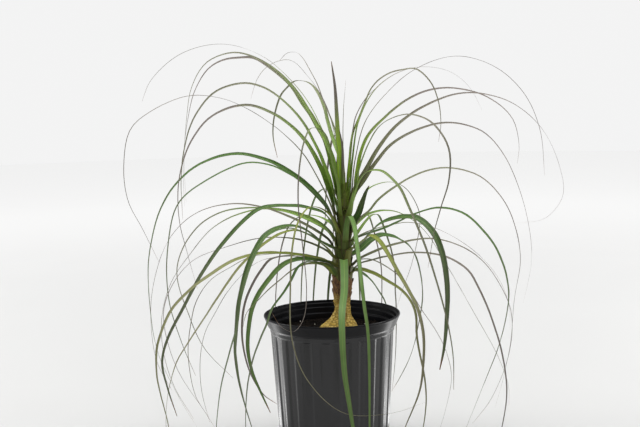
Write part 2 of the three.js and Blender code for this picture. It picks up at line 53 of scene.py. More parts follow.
BODY = "root"
GOLDEN_TURN = 137.5
SMOOTH_ANGLE = math.radians(38)
OLD_TIERS = 4
GROWN_TIERS = 8

Colour = tuple[float, float, float, float]
Pair = tuple[float, float]


class Slot(Enum):
    """Material slots of the record."""

    POT = "pot_plastic"
    SOIL = "potting_soil"
    BARK = "trunk_bark"
    OLD_LEAF = "old_leaf"
    LEAF = "leaf"
    YOUNG_LEAF = "young_leaf"


class Look(Enum):
    """A blade's colour, how far its outer part turns bronze, and from which share of its length."""

    GREEN = ("6c8a38", 0.9, 0.12)
    DARK = ("45642e", 0.4, 0.3)
    OLIVE = ("858f3e", 0.65, 0.15)
    GREY = ("7e8462", 0.9, 0.1)
    BRONZE = ("6a6c50", 1.0, 0.05)
    BRIGHT = ("88a83c", 0.9, 0.12)
    SPEAR = ("98bc30", 1.0, 0.36)
    FRONT = ("5d7c40", 0.1, 0.3)

    def __init__(self, code: str, bronze: float, onset: float) -> None:
        """Names the three values of a look.

        Args:
            code: Web colour of the fresh blade.
            bronze: How far the outer part turns bronze, from 0 to 1.
            onset: Share of the length where that begins.
        """
        self.code = code
        self.bronze = bronze
        self.onset = onset


@dataclass(frozen=True)
class Leaf:
    """One leaf: the turn it grows towards, its widest width, its twist at the tip, its route and its look.

    A route's points are the reach from the stem, the height, and a step sideways where there is one.
    Tilt is the roll of the whole blade in degrees, and outer is the width of its outer part as a share.
    """

    turn: float
    width: float
    twist: float
    route: tuple[tuple[float, ...], ...]
    look: Look = Look.GREEN
    tilt: float = 0.0
    outer: float = 0.38


@dataclass(frozen=True)
class Tier:
    """A short length of the leafy stem, between two heights, with the leaves that grow from it."""

    low: float
    high: float
    leaves: tuple[Leaf, ...]


# Every leaf, from the lowest tier to the central spears
TIERS = (
    Tier(206, 216, (
        Leaf(231, 8, 25, ((24, 224), (44, 230), (67, 236), (84, 232), (98, 216), (113, 203), (129, 190),
             (137, 175), (148, 159), (160, 137), (168, 107), (169, 65), (164, 28)), Look.DARK, outer=0.6),
        Leaf(222, 9, 20, ((26, 225), (48, 230.5), (66, 230), (82, 226), (98, 218), (117, 208), (132, 198),
             (147, 187), (153, 168)), Look.OLIVE, tilt=30, outer=0.75),
        Leaf(140, 8, 30, ((26, 223), (58, 229), (85, 227), (117, 219), (132, 205), (149, 182), (160, 160),
             (165, 133), (163, 103), (150, 69), (126, 43), (102, 34)), Look.BRONZE, tilt=20, outer=0.6),
        Leaf(162, 6, 20, ((28, 223), (55, 231), (82, 230), (105, 225), (121, 215), (147, 187), (164, 159),
             (179, 130), (185, 94), (182, 54), (171, 16)), Look.BRONZE),
        Leaf(100, 10, 15, ((20, 224), (42, 225), (72, 208), (86, 183), (92, 149), (95, 100), (92, 50)),
             Look.DARK),
        Leaf(54, 9, 60, ((26, 213), (44, 205), (65, 192), (82, 176), (96, 161), (105, 144), (109, 115),
             (108, 83), (104, 50)), Look.DARK, tilt=45, outer=0.8),
        Leaf(312, 9, -20, ((26, 220), (50, 219), (76, 212), (99, 204), (114, 193), (122, 179), (124, 158),
             (129, 138), (138, 111), (142, 84), (139, 52), (130, 16)), Look.OLIVE, tilt=32),
        Leaf(322, 8.3, 35, ((22.5, 224.5), (43, 232), (68, 239), (96, 245), (128, 246), (155, 241),
             (175, 230), (187, 214), (203, 186), (220, 144), (228, 102), (224, 61), (214, 22)),
             Look.BRONZE, tilt=20),
    )),
    Tier(216, 226, (
        Leaf(213, 10, -30, ((24, 229), (50, 235), (75, 235), (91, 228), (104, 216), (116, 202),
             (124, 188), (128, 171), (130, 144), (124, 113), (111, 84), (98, 58)),
             Look.FRONT, tilt=-30, outer=0.8),
        Leaf(224, 11, 40, ((24, 230), (54, 239), (94, 248), (139, 253), (171, 250), (199, 241),
             (228, 228), (256, 208), (272, 179), (275, 148), (259, 85), (246, 30)),
             Look.OLIVE, tilt=-20, outer=0.6),
        Leaf(270, 12, 12, ((16, 227), (42, 234), (90, 209), (128, 189, -3), (148, 160, -2), (158, 129, 1),
             (164, 101, 6), (167, 74, 11), (168, 30, 20)), Look.FRONT, outer=0.9),
        Leaf(333, 7, -30, ((22, 230), (38, 231), (54, 225), (71, 215), (84, 201), (103, 176), (122, 152),
             (135, 130), (143, 101), (142, 84), (133, 42), (122, 12)), Look.BRONZE),
        Leaf(14, 8, 40, ((20, 228), (44, 238), (71, 245), (114, 248), (147, 238), (179, 217), (204, 185),
             (221, 147), (220, 96), (199, 40), (175, 10)), Look.BRONZE, tilt=20),
        Leaf(152, 7, 20, ((26, 226), (59, 233), (87, 232), (130, 225), (158, 211), (190, 191), (210, 163),
             (219, 129), (222, 90), (210, 38), (190, 12)), Look.GREY),
        Leaf(78, 8, 20, ((24, 236), (60, 240), (98, 218), (122, 178), (133, 128), (132, 78), (124, 30)),
             Look.DARK),
    )),
    Tier(226, 236, (
        Leaf(214, 9, 60, ((24, 245), (49, 263), (70, 271), (90, 269), (112, 259), (128, 248), (145, 235),
             (157, 222), (175, 200), (190, 181), (206, 161), (222, 139), (233, 104), (235, 70), (230, 30)),
             Look.OLIVE, tilt=-15, outer=0.7),
        Leaf(205, 9, -35, ((22, 241), (56, 257), (101, 264), (151, 257), (190, 245), (213, 221),
             (224, 190), (218, 151), (203, 113), (175, 69), (160, 44)), Look.BRONZE, tilt=20),
        Leaf(40, 11, 40, ((24, 236), (45, 248), (62, 252), (79, 249), (96, 242), (113, 231), (124, 215),
             (135, 184), (137, 163), (131, 127), (121, 94), (102, 66), (88, 50)),
             Look.DARK, tilt=25, outer=0.8),
        Leaf(90, 8, -20, ((30, 246), (72, 252), (116, 232), (145, 190), (158, 140), (156, 90), (146, 44)),
             Look.DARK),
    )),
    Tier(236, 246, (
        Leaf(228, 11, 45, ((24, 247), (46, 259), (69, 273), (98, 281), (125, 278), (140, 270), (158, 247),
             (171, 214), (176, 183), (178, 155), (172, 121), (161, 86), (149, 55), (140, 22)),
             Look.DARK, tilt=-20, outer=0.8),
        Leaf(236, 8, 30, ((28, 249), (55, 260), (82, 272), (112, 281), (141, 281), (162, 274), (178, 258),
             (190, 239), (200, 215), (206, 188), (220, 158), (232, 128), (239, 87), (238, 40)),
             Look.DARK, outer=0.6),
        Leaf(318, 12, 25, ((22, 247), (35, 257), (52, 274), (73, 283), (95, 287), (113, 285), (132, 272),
             (145, 250), (153, 220), (155, 189), (153, 145), (148, 117)), Look.DARK, tilt=25, outer=0.9),
        Leaf(167, 8, 35, ((18, 252), (53, 274), (98, 291), (142, 296), (187, 284), (222, 250), (242, 190),
             (244, 143), (236, 96), (216, 60)), Look.BRONZE, tilt=-25),
        Leaf(307, 9, -25, ((26, 249), (42, 259), (51, 263), (66, 259), (83, 245), (99, 228), (119, 209),
             (137, 188), (146, 164), (148, 135), (144, 100), (122, 52), (108, 20)),
             Look.OLIVE, tilt=20, outer=0.6),
        Leaf(104, 9, 20, ((26, 262), (64, 270), (104, 250), (130, 208), (142, 156), (143, 100), (136, 50)),
             Look.DARK),
        Leaf(52, 8, 20, ((26, 256), (46, 270), (58, 276), (71, 275), (87, 253), (102, 227), (112, 200),
             (114, 174), (117, 154), (119, 121), (119, 81), (114, 40))),
    )),
    Tier(246, 256, (
        Leaf(156, 9, 30, ((22, 264), (71, 284), (115, 287), (175, 264), (210, 228), (239, 188),
             (252, 145), (250, 99), (234, 54), (204, 12)), tilt=-30),
        Leaf(334, 9, -40, ((20, 257), (36, 263), (50, 268), (68, 276), (88, 286), (116, 295), (147, 291),
             (169, 276), (194, 244), (206, 203), (200, 151), (184, 101), (163, 41), (154, 14)),
             Look.DARK, tilt=20, outer=0.6),
        Leaf(281, 8.5, 15, ((15, 272), (28, 285), (53, 278), (83, 261, -3), (119, 231, -6),
             (139, 201, -6), (152, 173, -4), (160, 126, -3), (163, 71, -2), (160, 24)),
             Look.FRONT, outer=0.65),
        Leaf(186, 8, -25, ((21, 268), (52, 286), (98, 295), (142, 293), (171, 278), (192, 249),
             (198, 219), (185, 174), (165, 129), (130, 90)), tilt=-25),
        Leaf(66, 6, -20, ((24, 262), (44, 267), (65, 272), (79, 273), (97, 255), (109, 238), (123, 216),
             (132, 195), (136, 168), (136, 128), (128, 89))),
        Leaf(8, 7, 20, ((21, 258), (39, 265), (59, 269), (78, 271), (106, 265), (127, 256), (151, 241),
             (177, 219), (198, 191), (209, 162), (212, 132)), Look.GREY),
    )),
    Tier(256, 266, (
        Leaf(216, 10, -40, ((28, 286), (57, 297), (88, 302), (122, 301), (166, 270), (197, 235),
             (219, 201), (239, 168), (245, 144), (238, 114), (226, 80)), Look.DARK, tilt=-30, outer=0.6),
        Leaf(26, 8, 45, ((19, 274), (39, 283), (71, 282), (110, 258), (149, 206), (191, 143), (232, 79),
             (250, 38), (252, 12)), tilt=15),
        Leaf(240, 6, 20, ((36, 288), (73, 301, -3), (105, 290), (133, 266, 9), (151, 220, 18),
             (157, 167, 25), (146, 121, 39), (119, 81, 71), (87, 78, 114), (62, 87, 142)), Look.OLIVE),
        Leaf(124, 8, -25, ((26, 270), (54, 276), (90, 274), (121, 258), (139, 225), (147, 191),
             (150, 153), (148, 100), (142, 56))),
        Leaf(352, 9, -30, ((19, 278), (31, 288), (40, 300), (54, 312), (74, 325), (101, 336), (125, 338),
             (153, 331), (171, 319), (188, 299), (200, 275), (210, 232), (205, 181), (203, 132),
             (197, 90), (188, 50)), Look.GREY, tilt=25),
        Leaf(108, 8, 15, ((24, 290), (66, 308), (112, 294), (146, 250), (162, 192), (164, 130), (156, 72)),
             Look.DARK),
    )),
    Tier(266, 276, (
        Leaf(178, 12.5, 35, ((25, 297), (53, 326), (90, 349), (135, 359), (185, 341), (218, 300),
             (234, 239), (233, 178), (223, 119), (196, 61), (173, 22)), Look.DARK, tilt=-45, outer=0.33),
        Leaf(33, 7, 40, ((17, 280), (24, 296), (34, 311), (50, 317), (68, 318), (84, 313), (98, 302),
             (114, 275), (114, 255), (105, 215), (89, 176), (83, 157), (80, 130))),
        Leaf(18, 10, 10, ((17, 281), (21, 290), (24, 300), (27, 309), (31, 317)),
             Look.DARK, tilt=50, outer=1),
        Leaf(82, 7, 15, ((18, 286), (36, 292), (60, 280), (76, 240), (82, 190), (82, 120)), Look.DARK),
        Leaf(192, 8, -30, ((22, 295), (57, 328), (93, 347), (120, 350), (167, 331), (198, 306),
             (210, 252), (208, 193), (193, 142), (176, 100)), Look.DARK, tilt=-25),
        Leaf(208, 6, -35, ((14, 284), (27, 312), (41, 336), (57, 359), (75, 377), (99, 396), (137, 418),
             (165, 428), (201, 431), (238, 419), (267, 398), (275, 358), (270, 320), (253, 287),
             (234, 249)), Look.BRONZE),
    )),
    Tier(276, 288, (
        Leaf(307, 10, 30, ((18.5, 308), (34, 333), (48, 339), (62, 340), (75, 337), (100, 322),
             (116, 302), (130, 283), (145, 261), (159, 236), (176, 202), (189, 170), (196, 142),
             (198, 110)), tilt=20, outer=0.33),
        Leaf(184, 12.5, 35, ((20, 315), (30, 341), (51, 376), (85, 405), (120, 417), (159, 405),
             (184, 374), (197, 329), (196, 284), (187, 247), (174, 200)), tilt=-52, outer=0.33),
        Leaf(304, 11, -40, ((18, 306), (34, 351), (63, 389), (94, 402), (129, 405), (164, 394),
             (188, 369), (189, 336), (178, 308), (168, 280), (160, 240)), tilt=30, outer=0.33),
        Leaf(96, 8, -20, ((16, 316), (40, 350), (62, 356), (86, 330), (98, 286), (102, 236), (98, 180))),
        Leaf(244, 6, 20, ((20, 322), (35, 346), (44, 364), (56, 381), (69, 388), (87, 392), (100, 390),
             (114, 373), (122, 345), (122, 309), (108, 257), (97, 210), (102, 179), (124, 168),
             (158, 180), (179, 199))),
    )),
    Tier(288, 300, (
        Leaf(344, 12.8, -50, ((14, 310), (15.5, 328), (17.5, 350), (22.5, 368), (31, 383), (49, 401),
             (72, 419), (98, 430), (125, 432), (164, 422), (194, 398), (204, 366), (203, 345)),
             Look.BRIGHT, tilt=55, outer=0.34),
        Leaf(20, 9.5, -35, ((14, 314), (27, 336), (43, 363), (69, 391), (122, 418), (165, 424),
             (219, 411), (265, 377), (292, 332), (301, 290), (277, 262), (234, 258)),
             Look.BRONZE, tilt=45, outer=0.28),
        Leaf(7, 9.5, -35, ((15, 312), (22, 322), (36, 344), (56, 367), (89, 384), (121, 390), (150, 385),
             (169, 376), (191, 353), (209, 320), (226, 272), (234, 220), (226, 165)),
             Look.BRONZE, tilt=50, outer=0.27),
        Leaf(198, 12, 35, ((15.5, 312), (20.5, 327), (34, 360), (58, 400), (83, 425), (104, 438),
             (128, 443), (161, 433), (184, 405), (195, 369), (198, 335), (196, 290)), tilt=-52, outer=0.34),
        Leaf(100, 9, 25, ((14, 328), (28, 356), (52, 374), (84, 370), (108, 344), (121, 302), (124, 250)),
             outer=0.45),
    )),
    Tier(300, 314, (
        Leaf(150, 5, 30, ((18, 350), (47, 409), (79, 445), (121, 475), (180, 491), (245, 480), (293, 446),
             (306, 420))),
        Leaf(160, 13.5, 40, ((11.8, 326), (15.5, 341), (21, 359), (27, 375), (37, 390), (45, 403),
             (56, 417), (71, 438), (85, 450), (103, 463), (120, 472), (139, 473), (160, 471), (179, 462),
             (198, 436), (208, 400), (214, 350), (212, 290)), tilt=-60, outer=0.33),
        Leaf(48, 5, 30, ((13, 348), (22, 393), (46, 426), (84, 447), (141, 457), (206, 450), (253, 428),
             (284, 397))),
        Leaf(14, 6, -25, ((13, 349, 2), (24, 394, 1), (47, 425), (83, 454), (134, 469), (186, 455),
             (227, 420), (249, 376), (258, 320)), Look.BRONZE),
    )),
    Tier(314, 330, (
        Leaf(172, 11.5, 35, ((17, 354), (39, 397), (66, 438), (99, 466), (136, 479), (170, 468),
             (188, 440), (194, 405), (197, 352), (194, 300)), tilt=-50, outer=0.3),
        Leaf(118, 10.5, 20, ((12.4, 348), (28, 366), (40, 383), (48, 395), (57, 410), (80, 432),
             (99, 440), (119, 443), (139, 442), (157, 435), (179, 422), (196, 394), (198, 370),
             (184, 342)), outer=0.5),
        Leaf(215, 8, 30, ((11, 356), (19, 386), (30, 414), (48, 440), (60, 452), (72, 463), (82, 468),
             (94, 468), (105, 465), (117, 458), (126, 447), (134, 426)), tilt=-30, outer=0.34),
        Leaf(128, 8, 20, ((12, 358), (23, 387), (36, 406), (46, 420), (58, 439), (73, 456), (88, 471),
             (100, 478), (121, 478), (138, 468)), outer=0.34),
    )),
    Tier(330, 350, (
        Leaf(190, 11.5, 0, ((8, 362), (10, 380), (12, 403), (15, 436), (20, 466)),
             Look.SPEAR, tilt=75, outer=0.65),
        Leaf(120, 4, 10, ((7, 366), (8, 385), (8, 408), (6, 426), (4, 444)), Look.GREY, tilt=30, outer=0.7),
        Leaf(136, 8, 10, ((9, 366), (12, 378), (16, 388)), Look.BRIGHT, tilt=-40, outer=0.8),
        Leaf(238, 7, 10, ((8, 364), (12, 376), (16, 386)), Look.BRIGHT, outer=0.8),
        Leaf(336, 8, -30, ((6, 362), (8, 378), (11, 397), (16, 409), (26, 424), (39, 436)),
             tilt=55, outer=0.7),
        Leaf(332, 12, -40, ((7, 361), (10, 383), (17, 400), (25, 419), (31, 432), (42, 444), (55, 451),
             (69, 454), (87, 455), (106, 439), (116, 418), (120, 393), (118, 372)),
             Look.BRIGHT, tilt=58, outer=0.31),
    )),
)


@dataclass(frozen=True)
class StemLine:
    """The middle line of the stem, from where it leaves the soil, and the radius of its leafy part."""

    soil_x: float = 11.0
    soil: float = 145.0
    lean: float = 0.045
    foot: float = 206.0
    length: float = 144.0
    foot_radius: float = 10.6
    taper: float = 7.4
    curve: float = 1.1

    def x(self, height: float) -> float:
        """X of the middle line at a height: it leans a little to +X."""
        return self.soil_x + self.lean * (height - self.soil)

    def radius(self, height: float) -> float:
        """Radius of the leafy stem at a height."""
        up = max(0.0, (height - self.foot) / self.length)
        return self.foot_radius - self.taper * up ** self.curve


STEM = StemLine()


# Helpers


def tint(code: str) -> Colour:
    """Turns a web colour such as 5b8a2c into the linear colour that a shader takes.

    Args:
        code: Six hexadecimal digits.

    Returns:
        The linear red, green, blue and alpha, by the usual curve of a screen.
    """
    parts = [int(code[i:i + 2], 16) / 255 for i in (0, 2, 4)]
    linear = [c / 12.92 if c <= 0.04045 else ((c + 0.055) / 1.055) ** 2.4 for c in parts]
    return (linear[0], linear[1], linear[2], 1.0)


def blend(low: float, high: float, share: float) -> float:
    """Value at a share of the way between two numbers."""
    return low + (high - low) * share


def soft_step(low: float, high: float, value: float) -> float:
    """Smooth step from 0 at low to 1 at high."""
    share = min(1.0, max(0.0, (value - low) / (high - low)))
    return share * share * (3 - 2 * share)


def in_metres(profile: Sequence[Pair]) -> list[Pair]:
    """A profile in metres, from one in millimetres."""
    return [(radius * MM, height * MM) for radius, height in profile]


class Wire:
    """What a node gives out. Arithmetic on wires and numbers adds the nodes that do it."""

    def __init__(self, sheet: "NodeSheet", socket: bpy.types.NodeSocket) -> None:
        """Keeps the socket and the sheet that it is on."""
        self.sheet = sheet
        self.socket = socket

    def __add__(self, other: Any) -> "Wire":
        """Sum."""
        return self.sheet.math("ADD", self, other)

    def __sub__(self, other: Any) -> "Wire":
        """Difference."""
        return self.sheet.math("SUBTRACT", self, other)

    def __rsub__(self, other: Any) -> "Wire":
        """Difference, with the number first."""
        return self.sheet.math("SUBTRACT", other, self)

    def __mul__(self, other: Any) -> "Wire":
        """Product."""
        return self.sheet.math("MULTIPLY", self, other)

    def __truediv__(self, other: Any) -> "Wire":
        """Quotient."""
        return self.sheet.math("DIVIDE", self, other)

    def __pow__(self, other: Any) -> "Wire":
        """Power."""
        return self.sheet.math("POWER", self, other)


class NodeSheet:
    """A node tree, with short calls that add nodes and join them."""

    def __init__(self, tree: bpy.types.NodeTree) -> None:
        """Keeps the tree that the calls work on."""
        self.tree = tree

    def feed(self, socket: bpy.types.NodeSocket, value: Any) -> None:
        """Joins a wire to a socket, or sets the socket's value.

        Args:
            socket: The socket of a node's input.
            value: A wire, a plain value, or None to leave the socket as it is.
        """
        if isinstance(value, Wire):
            self.tree.links.new(value.socket, socket)
        elif value is not None:
            socket.default_value = value

    def add(self, kind: str, inputs: dict[int | str, Any] | None = None, **settings: Any) -> bpy.types.Node:
        """Adds one node.

        Args:
            kind: The node's Blender type.
            inputs: What goes into its sockets, by number or name.
            **settings: Its own properties, such as operation.

        Returns:
            The node.
        """
        node = self.tree.nodes.new(kind)
        for label, value in settings.items():
            setattr(node, label, value)
        for key, value in (inputs or {}).items():
            self.feed(node.inputs[key], value)
        return node

    def out(self, kind: str, inputs: dict[int | str, Any] | None = None, key: int | str = 0,
            **settings: Any) -> Wire:
        """Adds one node and takes one of its outputs.

        Args:
            kind: The node's Blender type.
            inputs: What goes into its sockets, by number or name.
            key: Number or name of the output.
            **settings: Its own properties, such as operation.

        Returns:
            The output.
        """
        return Wire(self, self.add(kind, inputs, **settings).outputs[key])

    def math(self, operation: str, *values: Any) -> Wire:
        """One step of arithmetic on numbers."""
        return self.out("ShaderNodeMath", dict(enumerate(values)), operation=operation)

    def vector(self, operation: str, *values: Any) -> Wire:
        """One step of arithmetic on vectors that gives a vector."""
        return self.out("ShaderNodeVectorMath", dict(enumerate(values)), operation=operation)

    def scaled(self, vector: Any, factor: Any) -> Wire:
        """A vector times a number."""
        return self.out("ShaderNodeVectorMath", {0: vector, "Scale": factor}, operation="SCALE")

    def length(self, vector: Any) -> Wire:
        """Length of a vector."""
        return self.out("ShaderNodeVectorMath", {0: vector}, "Value", operation="LENGTH")

    def dot(self, one: Any, other: Any) -> Wire:
        """Dot product of two vectors."""
        return self.out("ShaderNodeVectorMath", {0: one, 1: other}, "Value", operation="DOT_PRODUCT")

    def step(self, value: Any, low: Any, high: Any) -> Wire:
        """Smooth step from 0 at low to 1 at high."""
        return self.out("ShaderNodeMapRange", {0: value, 1: low, 2: high}, interpolation_type="SMOOTHSTEP")

    def between(self, low: Any, high: Any, share: Any) -> Wire:
        """Number at a share of the way between two others."""
        return self.out("ShaderNodeMix", {0: share, 2: low, 3: high}, data_type="FLOAT")

    def noise(self, vector: Any, scale: float, detail: float = 3.0) -> Wire:
        """Soft noise around 0.5."""
        return self.out("ShaderNodeTexNoise", {"Vector": vector, "Scale": scale, "Detail": detail})

    def jolt(self, vector: Any, scale: float, detail: float) -> Wire:
        """Soft noise in three directions around zero; with no vector it reads the position."""
        drift = self.out("ShaderNodeTexNoise", {"Vector": vector, "Scale": scale, "Detail": detail}, 1)
        return self.vector("SUBTRACT", drift, (0.5, 0.5, 0.5))

    def parts(self, vector: Any) -> list[Wire]:
        """The X, Y and Z of a vector."""
        return [Wire(self, socket) for socket in self.add("ShaderNodeSeparateXYZ", {0: vector}).outputs]

    def joined(self, x: Any, y: Any, z: Any) -> Wire:
        """A vector from its X, Y and Z."""
        return self.out("ShaderNodeCombineXYZ", {0: x, 1: y, 2: z})


class FinishSheet(NodeSheet):
    """A new material and its node tree."""

    def __init__(self, name: str, **values: Any) -> None:
        """Makes the material.

        Args:
            name: The material's name.
            **values: Plain values of the shader's own sockets, with spaces written as underscores.
        """
        self.material = bpy.data.materials.new(name)
        self.material.use_nodes = True
        super().__init__(self.material.node_tree)
        self.shader = self.tree.nodes["Principled BSDF"]
        for label, value in values.items():
            self.shader.inputs[label.replace("_", " ")].default_value = value

    def place(self) -> Wire:
        """The point on the surface, in the object's own frame."""
        return self.out("ShaderNodeTexCoord", key="Object")

    def value(self, name: str) -> Wire:
        """A number that the mesh carries under this name."""
        return self.out("ShaderNodeAttribute", key="Fac", attribute_name=name)

    def carried(self, name: str) -> Wire:
        """A colour that the mesh carries under this name."""
        return self.out("ShaderNodeAttribute", key="Color", attribute_name=name)

    def ramp(self, value: Any, stops: Sequence[tuple[float, Colour]]) -> Wire:
        """Looks a colour up on a scale of stops.

        Args:
            value: Where to look, from 0 to 1.
            stops: The place and colour of each stop.

        Returns:
            The colour.
        """
        node = self.add("ShaderNodeValToRGB", {0: value})
        scale = node.color_ramp.elements
        while len(scale) < len(stops):
            scale.new(0.5)
        for element, (position, colour) in zip(scale, stops):
            element.position = position
            element.color = colour
        return Wire(self, node.outputs[0])

    def mixed(self, share: Any, low: Any, high: Any) -> Wire:
        """Colour at a share of the way between two others."""
        return self.out("ShaderNodeMix", {0: share, 6: low, 7: high}, 2, data_type="RGBA")

    def finish(self, colour: Any, roughness: Any, height: Any, depth: float) -> bpy.types.Material:
        """Joins colour, roughness and bump to the shader.

        Args:
            colour: Base colour.
            roughness: Roughness.
            height: Height of the bump, from 0 to 1.
            depth: How deep a height of 1 is, in millimetres.

        Returns:
            The material.
        """
        self.feed(self.shader.inputs["Base Color"], colour)
        self.feed(self.shader.inputs["Roughness"], roughness)
        bump = self.out("ShaderNodeBump", {"Strength": 1.0, "Distance": depth * MM, "Height": height})
        self.feed(self.shader.inputs["Normal"], bump)
        return self.material


class RuleSheet(NodeSheet):
    """A geometry node tree with named inputs, which ends in real meshes with a material."""

    def __init__(self, name: str, inputs: dict[str, float | int]) -> None:
        """Makes the tree.

        Args:
            name: The tree's name.
            inputs: Its inputs and their values; whole numbers become whole number sockets.
        """
        super().__init__(bpy.data.node_groups.new(name, "GeometryNodeTree"))
        self.values = inputs
        face = self.tree.interface
        face.new_socket("Geometry", in_out="INPUT", socket_type="NodeSocketGeometry")
        for label, value in inputs.items():
            kind = "NodeSocketInt" if isinstance(value, int) else "NodeSocketFloat"
            face.new_socket(label, in_out="INPUT", socket_type=kind).default_value = value
        face.new_socket("Geometry", in_out="OUTPUT", socket_type="NodeSocketGeometry")
        self.entry = self.tree.nodes.new("NodeGroupInput")
        self.exit = self.tree.nodes.new("NodeGroupOutput")

    def given(self, label: str = "Geometry") -> Wire:
        """One of the tree's inputs."""
        return Wire(self, self.entry.outputs[label])

    def named(self, name: str, kind: str = "FLOAT") -> Wire:
        """An attribute of the geometry."""
        return self.out("GeometryNodeInputNamedAttribute", {"Name": name}, data_type=kind)

    def stored(self, geometry: Wire, name: str, value: Any, kind: str = "FLOAT",
               domain: str = "POINT") -> Wire:
        """Lets geometry carry a value under a name.

        Args:
            geometry: The geometry.
            name: The value's name.
            value: The value.
            kind: Its Blender data type.
            domain: What carries it: points or corners.

        Returns:
            The geometry with the value.
        """
        inputs = {"Geometry": geometry, "Name": name, "Value": value}
        return self.out("GeometryNodeStoreNamedAttribute", inputs, data_type=kind, domain=domain)

    def moved(self, geometry: Wire, position: Any = None, offset: Any = None) -> Wire:
        """Geometry with its points set to a place or moved by a step."""
        inputs = {"Geometry": geometry, "Position": position, "Offset": offset}
        return self.out("GeometryNodeSetPosition", inputs)

    def real(self, geometry: Wire) -> Wire:
        """Geometry with its instances turned into meshes."""
        return self.out("GeometryNodeRealizeInstances", {0: geometry})

    def position(self) -> Wire:
        """The place of a point."""
        return self.out("GeometryNodeInputPosition")

    def random(self, low: float, high: float, seed: Any) -> Wire:
        """A number drawn for each point."""
        return self.out("FunctionNodeRandomValue", {2: low, 3: high, "Seed": seed}, 1, data_type="FLOAT")

    def close(self, geometry: Wire, material: bpy.types.Material) -> None:
        """Ends the tree with Realize Instances and Set Material."""
        inputs = {"Geometry": self.real(geometry), "Material": material}
        self.feed(self.exit.inputs[0], self.out("GeometryNodeSetMaterial", inputs))

    def apply(self, piece: bpy.types.Object) -> None:
        """Puts the tree on an object as a modifier, with its inputs set by identifier.

        Args:
            piece: The object.
        """
        modifier = piece.modifiers.new(self.tree.name, "NODES")
        modifier.node_group = self.tree
        for item in self.tree.interface.items_tree:
            if item.in_out == "INPUT" and item.name in self.values:
                modifier[item.identifier] = self.values[item.name]


def new_piece(name: str, mesh: bpy.types.Mesh) -> bpy.types.Object:
    """Puts a mesh into the scene as an object at the origin."""
    piece = bpy.data.objects.new(name, mesh)
    bpy.context.scene.collection.objects.link(piece)
    return piece


def settle(piece: bpy.types.Object) -> None:
    """Turns an object and its modifiers into a plain mesh, smooth but for its sharp edges.

    Args:
        piece: The object.
    """
    bpy.context.view_layer.update()
    graph = bpy.context.evaluated_depsgraph_get()
    mesh = bpy.data.meshes.new_from_object(piece.evaluated_get(graph), preserve_all_data_layers=True,
                                           depsgraph=graph)
    piece.modifiers.clear()
    piece.data = mesh
    mesh.name = piece.name
    mesh.shade_smooth()
    mesh.set_sharp_from_angle(angle=SMOOTH_ANGLE)


def hand_over(piece: bpy.types.Object, slot: Slot, *nodes: str) -> None:
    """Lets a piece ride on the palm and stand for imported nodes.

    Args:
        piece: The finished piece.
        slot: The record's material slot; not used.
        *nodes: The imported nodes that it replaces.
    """
    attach(piece, BODY)
    if nodes:
        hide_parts(*nodes)
    piece.data.calc_loop_triangles()
    LOG.info("%s: %d triangles", piece.name, len(piece.data.loop_triangles))


def carry(mesh: bpy.types.Mesh, name: str, values: Sequence[int | float | Vector]) -> None:
    """Puts a value on each point of a mesh.

    Args:
        mesh: The mesh.
        name: The values' name.
        values: Whole numbers, numbers or vectors, all of one kind, one for each point.
    """
    if isinstance(values[0], Vector):
        flat = [part for vector in values for part in vector]
        mesh.attributes.new(name, "FLOAT_VECTOR", "POINT").data.foreach_set("vector", flat)
    else:
        kind = "INT" if isinstance(values[0], int) else "FLOAT"
        mesh.attributes.new(name, kind, "POINT").data.foreach_set("value", list(values))


def point_mesh(name: str, points: Sequence[Vector], rows: Sequence[dict[str, Any]]) -> bpy.types.Mesh:
    """A mesh of loose points that carry values, for a node tree to build on.

    Args:
        name: The mesh's name.
        points: The points, in metres.
        rows: What each point carries, by name.

    Returns:
        The mesh.
    """
    mesh = bpy.data.meshes.new(name)
    mesh.from_pydata([tuple(p) for p in points], [], [])
    for key in rows[0]:
        carry(mesh, key, [row[key] for row in rows])
    return mesh


def turned(name: str, profile: Sequence[Pair], sides: int,
           shift: Callable[[Vector], Vector] | None = None) -> bpy.types.Mesh:
    """A closed solid of revolution about Z whose profile starts and ends on the axis.

    Args:
        name: The mesh's name.
        profile: Radius and height pairs, in metres, from the lower pole round to the upper one.
        sides: Number of sides.
        shift: Moves each point.

    Returns:
        The mesh, with its faces outwards.
    """
    rings = profile[1:-1]
    points = [Vector((0, 0, profile[0][1]))]
    for radius, height in rings:
        for i in range(sides):
            turn = 2 * math.pi * i / sides
            points.append(Vector((radius * math.cos(turn), radius * math.sin(turn), height)))
    points.append(Vector((0, 0, profile[-1][1])))
    last = len(points) - 1
    top = 1 + (len(rings) - 1) * sides
    faces: list[tuple[int, ...]] = []
    for i in range(sides):
        j = (i + 1) % sides
        faces.append((0, 1 + j, 1 + i))
        for low in range(1, top, sides):
            high = low + sides
            faces.append((low + i, low + j, high + j, high + i))
        faces.append((top + i, top + j, last))
    mesh = bpy.data.meshes.new(name)
    mesh.from_pydata([tuple(shift(p) if shift else p) for p in points], [], faces)
    return mesh


def softened(profile: Sequence[Pair], cut: float, steps: int = 3, most: float = 0.4) -> list[Pair]:
    """Rounds the corners of a profile.

    Args:
        profile: Its corner points.
        cut: How far from a corner the rounding starts.
        steps: Points in each rounding, less one.
        most: The largest share of an edge that a rounding takes.

    Returns:
        The rounded profile; its two ends stay.
    """
    out = [profile[0]]
    for before, corner, after in zip(profile, profile[1:], profile[2:]):
        here = Vector(corner)
        back, ahead = Vector(before) - here, Vector(after) - here
        start = here + back.normalized() * min(cut, back.length * most)
        end = here + ahead.normalized() * min(cut, ahead.length * most)
        for i in range(steps + 1):
            share = i / steps
            point = start.lerp(here, share).lerp(here.lerp(end, share), share)
            out.append((point.x, point.y))
    out.append(profile[-1])
    return out


